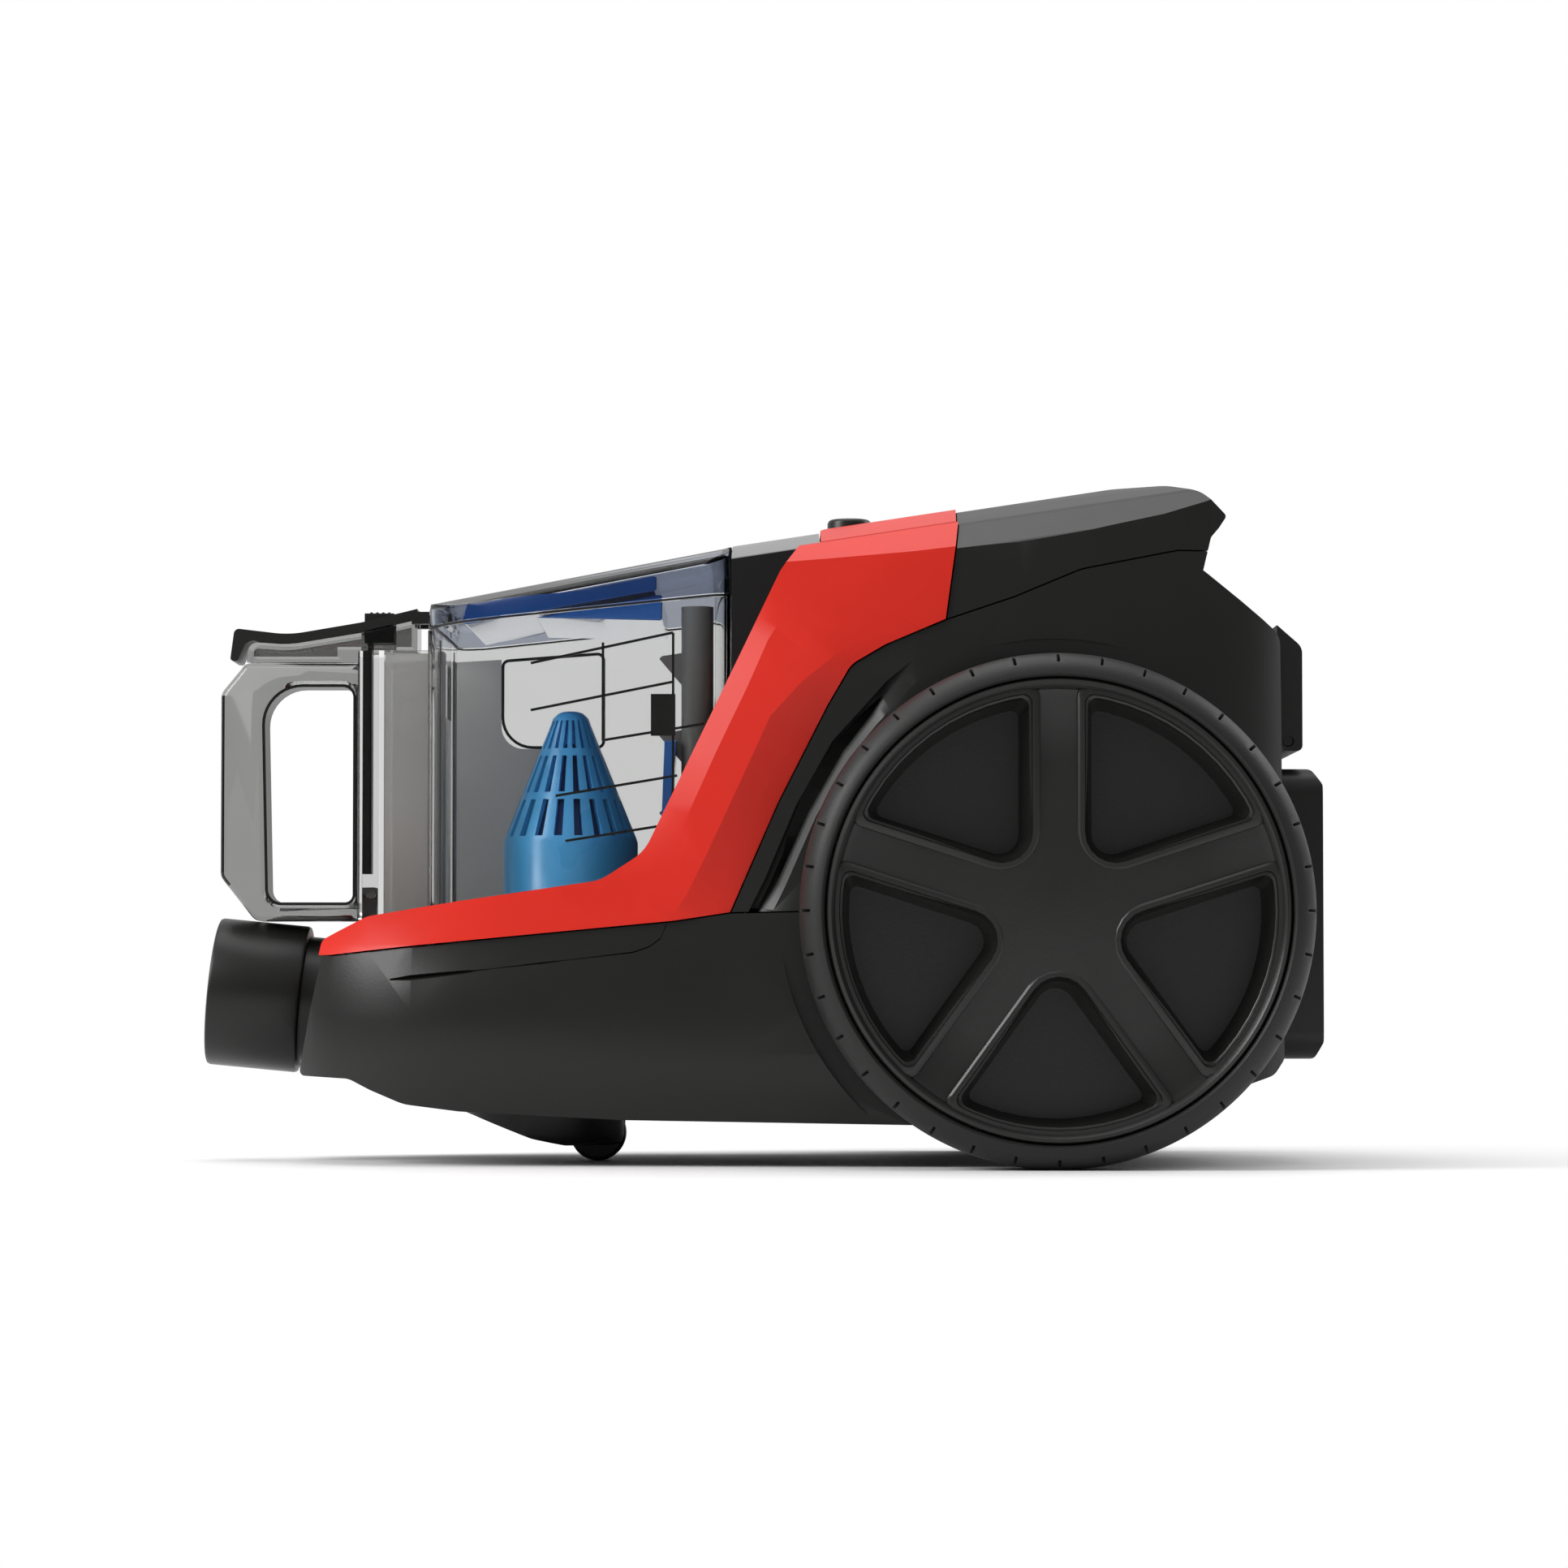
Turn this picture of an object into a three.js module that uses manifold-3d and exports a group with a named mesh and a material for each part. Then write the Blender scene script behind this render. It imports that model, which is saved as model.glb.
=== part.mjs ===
// A bagless canister vacuum cleaner on two large rear wheels and a swivelling front caster.
// Millimetres, +Z up. The hose inlet points along -X, the wheels turn about Y,
// and the origin is on the floor, under the middle of the machine's length and width.
import * as THREE from "three";
import Module from "manifold-3d";
import { mergeVertices } from "three/addons/utils/BufferGeometryUtils.js";

const wasm = await Module();
wasm.setup();

// ---------------------------------------------------------------- driving dimensions
// Lengths along X, in order from the tip of the hose inlet to the rear.
const INLET_REACH = 39; // tip of the inlet to the nose of the chassis
const NOSE_TO_BIN = 18; // nose of the chassis to the front of the dust bin
const RISER_LENGTH = 28; // dirty-air riser in front of the bin's chamber
const CHAMBER_LENGTH = 110; // dust chamber
const BIN_TO_AXLE = 114.4; // back of the dust chamber to the wheel axle
const AXLE_TO_REAR = 83; // wheel axle to the back of the body
const REST_DEPTH = 16.4; // rear rest, on which the machine stands upright
const EXHAUST_DEPTH = 9.5; // exhaust door, behind the back of the body
const BEZEL_LENGTH = 30; // gloss bezel between the bin and the deck
const DECK_LENGTH = 52.5; // red deck between the bezel and the handle cover
const COVER_LENGTH = 92.7; // handle cover, out to its lip
const HANDLE_REACH = 51; // bin handle, forward of the bin

// Widths along Y.
const OVERALL_WIDTH = 281; // over the outer faces of the rear wheels
const WHEEL_WIDTH = 36;
const WHEEL_TO_BODY = 4.5; // inner face of a wheel to the bottom of its pocket
const FENDER_OVERLAP = 13.5; // inner face of a wheel to the widest line of its arch
const NOSE_HALF_WIDTH = 52;
const BIN_HALF_WIDTH = 76;
const RISER_HALF_WIDTH = 24;
const HANDLE_WIDTH = 26;
const REST_HALF_WIDTH = 62;

// Heights above the floor.
const FLOOR_CLEARANCE = 15; // underside of the chassis
const SEAM_FRONT_Z = 75.5; // joint between chassis and upper body, at the nose
const SEAM_OVER_AXLE = 1; // the same joint at the rear, above the middle of the wheel axle
const BAY_FLOOR_Z = 84; // floor that the dust bin stands on
const RIM_FRONT_Z = 193; // rim of the dust bin, at its front
const LID_FRONT_Z = 204; // crown of the bin's lid, at its front
const DECK_Z = 230.6; // crown of the deck, at its front
const TOP_Z = 245.5; // crown of the handle cover
const INLET_TIP_Z = 62.8; // middle of the inlet's tip
const REST_BOTTOM_Z = 38;
const REST_TOP_Z = 143;
const EXHAUST_BOTTOM_Z = 149;
const EXHAUST_TOP_Z = 195;

// Round parts.
const WHEEL_RADIUS = 90;
const TYRE_DEPTH = 9;
const ARCH_GAP = 7; // tyre to wheel pocket
const AXLE_RADIUS = 6;
const SPOKES = 5;
const INLET_RADIUS = 27.2;
const INLET_BORE_RADIUS = 21;
const INLET_TILT = THREE.MathUtils.degToRad(5.5);
const CONE_RADIUS = 25;
const CONE_HEIGHT = 78;
const OUTLET_RADIUS = 20; // clean-air outlet under the cone
const CASTER_WHEEL_RADIUS = 10.3;
const CASTER_WHEEL_WIDTH = 15;
const CASTER_TRAIL = 19.5; // swivel axis to roller axle
const CASTER_POD_RADIUS = 30.5;
const MOTOR_RADIUS = 50;
const REEL_RADIUS = 58;
const REEL_WIDTH = 36;

// Walls and clearances.
const WALL = 2.6; // moulded body shells
const BIN_WALL = 2.2; // clear mouldings of the dust bin
const GAP = 0.5; // parting gap between pieces that don't move
const RUNNING = 0.5; // radial clearance of anything that turns
const BIN_GAP = 2.2; // bin to bay
const PROUD = 1.2; // red trim, beyond the black body

// Slopes of the top.
const DECK_SLOPE = THREE.MathUtils.degToRad(8.6);
const LID_SLOPE = THREE.MathUtils.degToRad(10.8);
const RIM_SLOPE = THREE.MathUtils.degToRad(6);

// ---------------------------------------------------------------- stations
const LENGTH =
  INLET_REACH + NOSE_TO_BIN + RISER_LENGTH + CHAMBER_LENGTH + BIN_TO_AXLE + AXLE_TO_REAR + REST_DEPTH;
const tipX = -LENGTH / 2;
const noseX = tipX + INLET_REACH;
const binX = noseX + NOSE_TO_BIN;
const chamberX = binX + RISER_LENGTH;
const binRearX = chamberX + CHAMBER_LENGTH;
const bayRearX = binRearX + BIN_GAP;
const deckX = bayRearX + BEZEL_LENGTH;
const coverX = deckX + DECK_LENGTH;
const lipX = coverX + COVER_LENGTH;
const axleX = binRearX + BIN_TO_AXLE;
const rearX = axleX + AXLE_TO_REAR;
const wheelFaceY = OVERALL_WIDTH / 2;
const wheelInnerY = wheelFaceY - WHEEL_WIDTH;
const pocketY = wheelInnerY - WHEEL_TO_BODY;
const fenderHalfWidth = wheelInnerY + FENDER_OVERLAP;
const pocketRadius = WHEEL_RADIUS + ARCH_GAP;
const seamRearZ = WHEEL_RADIUS + SEAM_OVER_AXLE;

// ---------------------------------------------------------------- materials
const plastic = (color, roughness) => new THREE.MeshStandardMaterial({ color, roughness, metalness: 0 });
const metal = (color, roughness) => new THREE.MeshStandardMaterial({ color, roughness, metalness: 1 });
const glassy = (color, opacity) =>
  new THREE.MeshStandardMaterial({ color, roughness: 0.1, metalness: 0, transparent: true, opacity });
const BLACK = plastic(0x1d1e1b, 0.5);
const WHEEL_BLACK = plastic(0x2a2b28, 0.45);
const GLOSS_BLACK = plastic(0x0c0c0d, 0.1);
const RED = plastic(0xc9312a, 0.25);
const BLUE = plastic(0x2f86c8, 0.3);
const DARK_BLUE = plastic(0x234f96, 0.3);
const CLEAR = glassy(0xb8bab8, 0.35);
const SMOKE = glassy(0x6c6e6c, 0.5);
const RUBBER = plastic(0x171716, 0.8);
const GREY = plastic(0x777a7c, 0.5);
const FOAM = plastic(0x3a3d44, 0.95);
const PAPER = plastic(0xe8e6dc, 0.9);
const GREEN = plastic(0x1d6b3a, 0.5);
const STEEL = metal(0xb4b8bc, 0.3);
const COPPER = metal(0xb46a35, 0.4);

// ---------------------------------------------------------------- solids
/** A three.js geometry as a manifold solid with its faces pointing out. */
function solidOf(geometry) {
  const bare = geometry.index ? geometry.toNonIndexed() : geometry.clone();
  for (const key of Object.keys(bare.attributes)) {
    if (key !== "position") bare.deleteAttribute(key);
  }
  const merged = mergeVertices(bare, 1e-4);
  const corners = merged.index.array;
  const triangles = [];
  for (let i = 0; i < corners.length; i += 3) {
    const [a, b, c] = corners.slice(i, i + 3);
    if (a !== b && b !== c && a !== c) triangles.push([a, b, c]);
  }
  const build = (faces) =>
    new wasm.Manifold(
      new wasm.Mesh({
        numProp: 3,
        vertProperties: merged.attributes.position.array,
        triVerts: new Uint32Array(faces.flat()),
      }),
    );
  const made = build(triangles);
  return made.volume() < 0 ? build(triangles.map(([a, b, c]) => [a, c, b])) : made;
}

/** A manifold solid as a three.js geometry. */
function geometryOf(solid) {
  const mesh = solid.getMesh();
  const geometry = new THREE.BufferGeometry();
  geometry.setAttribute("position", new THREE.BufferAttribute(new Float32Array(mesh.vertProperties), 3));
  geometry.setIndex(new THREE.BufferAttribute(new Uint32Array(mesh.triVerts), 1));
  const flat = geometry.toNonIndexed();
  flat.computeVertexNormals();
  return flat;
}

const join = (first, ...rest) => rest.reduce((a, b) => a.add(b), first);
const cut = (first, ...rest) => rest.reduce((a, b) => a.subtract(b), first);
const meet = (first, ...rest) => rest.reduce((a, b) => a.intersect(b), first);

/** Corners [x, y, radius] of an outline, each radius drawn as a curve that fits between its neighbours. */
function rounded(corners, steps = 2) {
  const n = corners.length;
  return corners.flatMap(([x, y, radius = 0], i) => {
    const here = new THREE.Vector2(x, y);
    if (!radius) return [here];
    const before = new THREE.Vector2(...corners[(i + n - 1) % n]).sub(here);
    const after = new THREE.Vector2(...corners[(i + 1) % n]).sub(here);
    const half = before.angleTo(after) / 2;
    const reach = Math.min(radius / Math.tan(half), 0.45 * before.length(), 0.45 * after.length());
    const start = here.clone().addScaledVector(before.normalize(), reach);
    const end = here.clone().addScaledVector(after.normalize(), reach);
    return new THREE.QuadraticBezierCurve(start, here, end).getPoints(steps);
  });
}

/** An outline moved inwards by a distance: each corner slides along the lines between its edges. */
function inset(corners, distance) {
  const area = corners.reduce((sum, [x, y], i) => {
    const [u, v] = corners[(i + 1) % corners.length];
    return sum + x * v - u * y;
  }, 0);
  const side = area > 0 ? 1 : -1;
  const n = corners.length;
  return corners.map(([x, y, radius = 0], i) => {
    const [px, py] = corners[(i + n - 1) % n];
    const [qx, qy] = corners[(i + 1) % n];
    const a = new THREE.Vector2(x - px, y - py).normalize();
    const b = new THREE.Vector2(qx - x, qy - y).normalize();
    const normalA = new THREE.Vector2(-a.y, a.x).multiplyScalar(side);
    const normalB = new THREE.Vector2(-b.y, b.x).multiplyScalar(side);
    const mitre = normalA.clone().add(normalB).divideScalar(1 + normalA.dot(normalB));
    return [x + mitre.x * distance, y + mitre.y * distance, Math.max(radius - distance, 0)];
  });
}

/** Outline in its own plane, pushed out to a depth along its normal. */
function prism(corners, depth, steps) {
  const shape = new THREE.Shape(rounded(corners, steps));
  return new THREE.ExtrudeGeometry(shape, { depth, bevelEnabled: false });
}
/** Outline in X and Z, extruded from y0 to y1. */
const sideSlab = (corners, y0, y1, steps) =>
  solidOf(prism(corners, y1 - y0, steps).rotateX(Math.PI / 2).translate(0, y1, 0));
/** Outline in X and Y, extruded from z0 to z1. */
const planSlab = (corners, z0, z1, steps) => solidOf(prism(corners, z1 - z0, steps).translate(0, 0, z0));
/** Outline in Y and Z, extruded from x0 to x1. */
const frontSlab = (corners, x0, x1, steps) =>
  solidOf(prism(corners, x1 - x0, steps).rotateX(Math.PI / 2).rotateZ(Math.PI / 2).translate(x0, 0, 0));

/** Block between two values along each axis. */
function box(x0, x1, y0, y1, z0, z1) {
  const block = new THREE.BoxGeometry(x1 - x0, y1 - y0, z1 - z0);
  return solidOf(block.translate((x0 + x1) / 2, (y0 + y1) / 2, (z0 + z1) / 2));
}

/** Half profile [radius, height] turned about the +Y, +Z or +X axis through (x, y, z). */
function turned(profile, axis, [x, y, z], segments = 24) {
  const points = profile.map(([radius, height]) => new THREE.Vector2(radius, height));
  const geometry = new THREE.LatheGeometry(points, segments);
  if (axis === "z") geometry.rotateX(Math.PI / 2);
  if (axis === "x") geometry.rotateZ(-Math.PI / 2);
  return solidOf(geometry.translate(x, y, z));
}
/** Solid cylinder from one height to another along an axis. */
const rod = (radius, from, to, axis, place, segments) =>
  turned([[0, from], [radius, from], [radius, to], [0, to]], axis, place, segments);
/** Hollow cylinder. */
const tube = (outer, inner, from, to, axis, place, segments) =>
  turned([[inner, from], [outer, from], [outer, to], [inner, to], [inner, from]], axis, place, segments);

/** An outline that is its own mirror image, from its half at positive Y: in plan, and in cross-section. */
const mirroredPlan = (half) => [...half, ...half.map(([x, y, r]) => [x, -y, r]).reverse()];
const mirroredSection = (half) => [...half, ...half.map(([y, z, r]) => [-y, z, r]).reverse()];

const turnedAboutY = (solid, angle, [x, z]) =>
  solidOf(geometryOf(solid).translate(-x, 0, -z).rotateY(angle).translate(x, 0, z));

const machine = new THREE.Group();
function piece(name, solid, material, group = machine) {
  const mesh = new THREE.Mesh(geometryOf(solid), material);
  mesh.name = name;
  group.add(mesh);
  return solid;
}

// ---------------------------------------------------------------- body envelope
// The shells of the body are one envelope, hollowed to the wall and cut apart along parting lines.
const DEEP = 400; // past every face
const WIDE = 200;

// The flanks' front edge slopes up beside the bin, from its foot to its top.
const flankFoot = [binRearX - 26, 119];
const flankTop = [bayRearX + 18, 212];

const bodySide = [
  [noseX - 0.6, 32, 3],
  [noseX + 28, FLOOR_CLEARANCE + 16, 12],
  [noseX + 44, FLOOR_CLEARANCE + 7.5, 14],
  [noseX + 62, FLOOR_CLEARANCE + 5, 10],
  [binRearX - 36, FLOOR_CLEARANCE + 1.5],
  [axleX - 54, FLOOR_CLEARANCE],
  [axleX + 38, FLOOR_CLEARANCE + 3, 20],
  [rearX - 10, FLOOR_CLEARANCE + 13, 6],
  [rearX, FLOOR_CLEARANCE + 21, 6],
  [rearX, EXHAUST_TOP_Z - 5, 6],
  [lipX - 9, 212],
  [lipX - 7, 226],
  [lipX, 231, 2],
  [lipX - 6, TOP_Z - 3, 5],
  [axleX + 24, TOP_Z, 24],
  [deckX, DECK_Z, 60],
  [...flankTop, 4],
  [...flankFoot, 16],
  [binRearX - 34, 105, 20],
  [binRearX - 58, 98, 10],
  [noseX + 26, 88, 6],
  [noseX + 9.4, 83, 3],
];

const bodyPlan = mirroredPlan([
  [noseX - 8, NOSE_HALF_WIDTH, 16],
  [noseX + 25, BIN_HALF_WIDTH + 8, 40],
  [binRearX - 50, BIN_HALF_WIDTH + 18],
  [bayRearX, BIN_HALF_WIDTH + 26, 30],
  [axleX - 50, fenderHalfWidth - 5, 40],
  [axleX, fenderHalfWidth, 60],
  [axleX + 45, fenderHalfWidth - 5, 40],
  [axleX + 70, fenderHalfWidth - 22, 20],
  [rearX, fenderHalfWidth - 34, 14],
]);

// Cross-section of the top, hung from the sloping crown line.
const bodyCrown = mirroredSection([
  [45, -2],
  [80, -8, 10],
  [97, -23, 5],
  [fenderHalfWidth - 9, -90, 30],
  [fenderHalfWidth + 14, -260],
]);

const binPlan = mirroredPlan([
  [binX, RISER_HALF_WIDTH, 6],
  [chamberX, RISER_HALF_WIDTH, 3],
  [chamberX, BIN_HALF_WIDTH, 44],
  [binRearX, BIN_HALF_WIDTH, 12],
]);

const GRIP_HALF_WIDTH = 46;
const gripRecess = [
  [lipX - 44, 214, 6],
  [lipX - 44, 229, 6],
  [lipX - 12, 234, 3],
  [lipX + 20, 221],
  [lipX + 20, 206],
];

/** Everything under the body's sloping crown, moved inwards by a distance. */
function underCrown(depth) {
  const crown = frontSlab(inset(bodyCrown, depth), -DEEP, DEEP).translate([0, 0, DECK_Z]);
  return turnedAboutY(crown, -DECK_SLOPE, [deckX, DECK_Z]);
}

/** The body's outer surface, moved inwards by a distance. */
function envelope(depth) {
  const pocket = (sign) => {
    const [from, to] = sign < 0 ? [-WIDE, -pocketY + depth] : [pocketY - depth, WIDE];
    return rod(pocketRadius + depth, from, to, "y", [axleX, 0, WHEEL_RADIUS], 32);
  };
  const bay = planSlab(inset(binPlan, -BIN_GAP - depth), BAY_FLOOR_Z - depth, DEEP, 3);
  const grip = sideSlab(inset(gripRecess, -depth), -GRIP_HALF_WIDTH - depth, GRIP_HALF_WIDTH + depth, 2);
  return cut(
    meet(
      sideSlab(inset(bodySide, depth), -WIDE, WIDE),
      planSlab(inset(bodyPlan, depth), 0, DEEP),
      underCrown(depth),
    ),
    pocket(-1),
    pocket(1),
    bay,
    grip,
  );
}

const outer = envelope(0);
const skin = cut(outer, envelope(WALL));
const proudSkin = cut(envelope(-PROUD), envelope(WALL));

// ---------------------------------------------------------------- body shells
function bayTub(grow) {
  const around = BIN_GAP + WALL + grow;
  return planSlab(inset(binPlan, -around), BAY_FLOOR_Z - WALL - grow, DEEP, 3);
}
const DECK_HALF_WIDTH = 80;
const NOSE_TRIM_FROM = 38; // the trims leave the middle of the nose black

const middle = (halfWidth) => (grow) => box(-DEEP, DEEP, -halfWidth - grow, halfWidth + grow, -1, DEEP);

/** Cuts a side outline's share off a shell: the share, and what is left beyond the parting gap. */
function share(shell, corners, limit = middle(WIDE)) {
  const region = (grow) => meet(sideSlab(inset(corners, -grow), -WIDE, WIDE), limit(grow));
  return [meet(shell, region(-GAP / 2)), cut(shell, region(GAP / 2))];
}
const seam = [
  [-DEEP, SEAM_FRONT_Z],
  [noseX, SEAM_FRONT_Z],
  [binRearX - 36, SEAM_FRONT_Z + 5, 8],
  [binRearX - 20, seamRearZ, 6],
];
const chassisSide = [[-DEEP, -1], [DEEP, -1], [DEEP, seamRearZ], ...seam.toReversed()];
const trimRear = [
  [bayRearX + 1, seamRearZ],
  [bayRearX + 15, 129],
  [bayRearX + 33, 165, 14],
  [bayRearX + 52, 185, 14],
  [coverX - 8, 194],
  [coverX, DECK_Z + 20],
];
const trimSide = [...seam, ...trimRear, [-DEEP, DECK_Z + 20]];
const coverSide = [
  [coverX, DECK_Z + 30],
  [coverX - 8, 194],
  [coverX + 16, 202],
  [coverX + 40, 212, 20],
  [lipX - 18, 219],
  [DEEP, 219],
  [DEEP, DECK_Z + 30],
];
const deckSide = [[deckX, 190], [coverX - 8, 194], [coverX, DECK_Z + 30], [deckX, DECK_Z + 30]];
const bezelSide = [[-DEEP, 150], [deckX, 150], [deckX, DECK_Z + 30], [-DEEP, DECK_Z + 30]];
const rearSide = [[axleX - 40, 0], [DEEP, 0], [DEEP, DEEP], [axleX - 40, DEEP]];

const trimLimit = (grow) =>
  cut(
    box(-DEEP, DEEP, -WIDE, WIDE, -1, DEEP),
    box(-DEEP, chamberX - grow, -NOSE_TRIM_FROM + grow, NOSE_TRIM_FROM - grow, -1, DEEP),
    box(bayRearX + grow, DEEP, -DECK_HALF_WIDTH + grow, DECK_HALF_WIDTH - grow, -1, DEEP),
  );

const outsideTub = bayTub(GAP);
const [trims] = share(cut(proudSkin, outsideTub), trimSide, trimLimit);
const [deck] = share(proudSkin, deckSide, middle(DECK_HALF_WIDTH));
const [chassisShell, aboveChassis] = share(cut(skin, outsideTub), chassisSide);
const [, untrimmed] = share(aboveChassis, trimSide, trimLimit);
const [cover, belowCover] = share(untrimmed, coverSide);
const [, belowDeck] = share(belowCover, deckSide, middle(DECK_HALF_WIDTH));
const [bezel, belowBezel] = share(belowDeck, bezelSide, middle(DECK_HALF_WIDTH));
const [rearShell, frontShell] = share(belowBezel, rearSide);
const oneSide = (sign) => box(-DEEP, DEEP, sign < 0 ? -WIDE : 0, sign < 0 ? 0 : WIDE, -1, DEEP);
const nose = box(-DEEP, chamberX, -WIDE, WIDE, -1, DEEP);

// ---------------------------------------------------------------- hose inlet
const INLET_COLLAR = 34;
const INLET_NECK_RADIUS = 23.5;
const INLET_END = INLET_REACH + 7.5; // inside the nose
const tip = [tipX + INLET_RADIUS * Math.sin(INLET_TILT), INLET_TIP_Z];
const alongInlet = (profile, segments) =>
  turnedAboutY(turned(profile, "x", [tip[0], 0, tip[1]], segments), INLET_TILT, tip);
const inletTube = alongInlet([
  [INLET_BORE_RADIUS, 0],
  [INLET_RADIUS - 1.5, 0],
  [INLET_RADIUS, 1.5],
  [INLET_RADIUS, INLET_COLLAR],
  [INLET_NECK_RADIUS, INLET_COLLAR],
  [INLET_NECK_RADIUS, INLET_END],
  [INLET_BORE_RADIUS, INLET_END],
  [INLET_BORE_RADIUS, 0],
]);
const inletHole = alongInlet([
  [0, 0],
  [INLET_RADIUS + GAP, 0],
  [INLET_RADIUS + GAP, INLET_COLLAR + GAP],
  [INLET_NECK_RADIUS + GAP, INLET_COLLAR + GAP],
  [INLET_NECK_RADIUS + GAP, INLET_END + 2],
  [0, INLET_END + 2],
]);
piece("inlet_tube", inletTube, BLACK);

// The elbow takes the dirty air from the inlet up to the foot of the riser.
const elbow = { front: noseX + 15.5, rear: chamberX - 1, half: INLET_NECK_RADIUS, low: 36, wall: 2 };
const riserMouth = [binX + 10.5, chamberX - 4, RISER_HALF_WIDTH - 6];
const tubFloorTop = BAY_FLOOR_Z;
const tubFloorUnder = BAY_FLOOR_Z - WALL;
const SEAL_DEPTH = BIN_GAP;
const riserHole = (grow, z0, z1) =>
  box(riserMouth[0] - grow, riserMouth[1] + grow, -riserMouth[2] - grow, riserMouth[2] + grow, z0, z1);
const elbowHigh = tubFloorUnder - 6;
piece(
  "inlet_elbow",
  cut(
    join(
      box(elbow.front, elbow.rear, -elbow.half, elbow.half, elbow.low, elbowHigh),
      riserHole(elbow.wall, elbowHigh - 1, tubFloorUnder - GAP),
    ),
    box(elbow.front - 1, elbow.rear - elbow.wall, -elbow.half + elbow.wall, elbow.half - elbow.wall,
      elbow.low + elbow.wall, elbowHigh - elbow.wall),
    riserHole(0, elbowHigh - elbow.wall - 1, tubFloorUnder + 1),
  ),
  GREY,
);
piece(
  "inlet_seal",
  cut(riserHole(2.5, tubFloorTop + 0.3, tubFloorTop + SEAL_DEPTH - 0.3), riserHole(0, 0, DEEP)),
  RUBBER,
);

// ---------------------------------------------------------------- wheels
const AXLE_INNER_Y = 84;
const WHEEL_FACE_RECESS = 3;
const WEB_THICKNESS = 7;
const SPOKE_WIDTH = 26;
const POCKET_FROM = 29;
const discRadius = WHEEL_RADIUS - TYRE_DEPTH;
const rimInner = discRadius - 2.5;
const pocketTo = rimInner - 4;

function wheelPocket(index) {
  const middleAngle = Math.PI / 2 + ((index + 0.5) * 2 * Math.PI) / SPOKES;
  const half = Math.PI / SPOKES;
  const wideAngle = half - Math.asin(SPOKE_WIDTH / 2 / pocketTo);
  const narrowAngle = half - Math.asin(SPOKE_WIDTH / 2 / POCKET_FROM);
  const at = (radius, angle, round = 0) => [
    radius * Math.cos(middleAngle + angle),
    radius * Math.sin(middleAngle + angle),
    round,
  ];
  const corners = [
    at(POCKET_FROM, -narrowAngle, 4),
    at(pocketTo, -wideAngle, 6),
    at(pocketTo, -wideAngle / 2),
    at(pocketTo, 0),
    at(pocketTo, wideAngle / 2),
    at(pocketTo, wideAngle, 6),
    at(POCKET_FROM, narrowAngle, 4),
  ];
  return sideSlab(corners, WEB_THICKNESS, WHEEL_WIDTH + 1, 3);
}

// Built about the origin with the outer face towards +Y, then set at each side.
const wheelDisc = cut(
  turned(
    [[0, 0], [discRadius, 0], [discRadius, WHEEL_WIDTH - 1], [discRadius - 1, WHEEL_WIDTH],
      [rimInner, WHEEL_WIDTH], [rimInner - 1, WHEEL_WIDTH - WHEEL_FACE_RECESS],
      [0, WHEEL_WIDTH - WHEEL_FACE_RECESS]],
    "y", [0, 0, 0], 48,
  ),
  ...Array.from({ length: SPOKES }, (_, index) => wheelPocket(index)),
  rod(AXLE_RADIUS + RUNNING, -1, WHEEL_WIDTH - 8, "y", [0, 0, 0]),
);
const tyre = turned(
  [[discRadius + 0.3, 0.5], [WHEEL_RADIUS - 3, 0.5], [WHEEL_RADIUS, 6], [WHEEL_RADIUS, WHEEL_WIDTH - 8],
    [WHEEL_RADIUS - 2.5, WHEEL_WIDTH - 2.5], [discRadius + 2, WHEEL_WIDTH],
    [discRadius + 0.3, WHEEL_WIDTH - 1], [discRadius + 0.3, 0.5]],
  "y", [0, 0, 0], 48,
);
const axleEnd = wheelFaceY - 10;
const axle = join(
  rod(AXLE_RADIUS, AXLE_INNER_Y, axleEnd, "y", [0, 0, 0]),
  rod(AXLE_RADIUS + 6, AXLE_INNER_Y + 4, pocketY - WALL - GAP, "y", [0, 0, 0]),
);
for (const [side, sign] of [["left", -1], ["right", 1]]) {
  const station = new THREE.Group();
  station.position.set(axleX, 0, WHEEL_RADIUS);
  station.rotation.z = sign < 0 ? Math.PI : 0;
  const wheel = new THREE.Group();
  wheel.position.y = wheelInnerY;
  station.add(wheel);
  piece(`wheel_disc_${side}`, wheelDisc, WHEEL_BLACK, wheel);
  piece(`tyre_${side}`, tyre, RUBBER, wheel);
  piece(`axle_${side}`, axle, STEEL, station);
  machine.add(station);
}
const axleHole = rod(AXLE_RADIUS + 0.3, -WIDE, WIDE, "y", [axleX, 0, WHEEL_RADIUS], 24);

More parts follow.
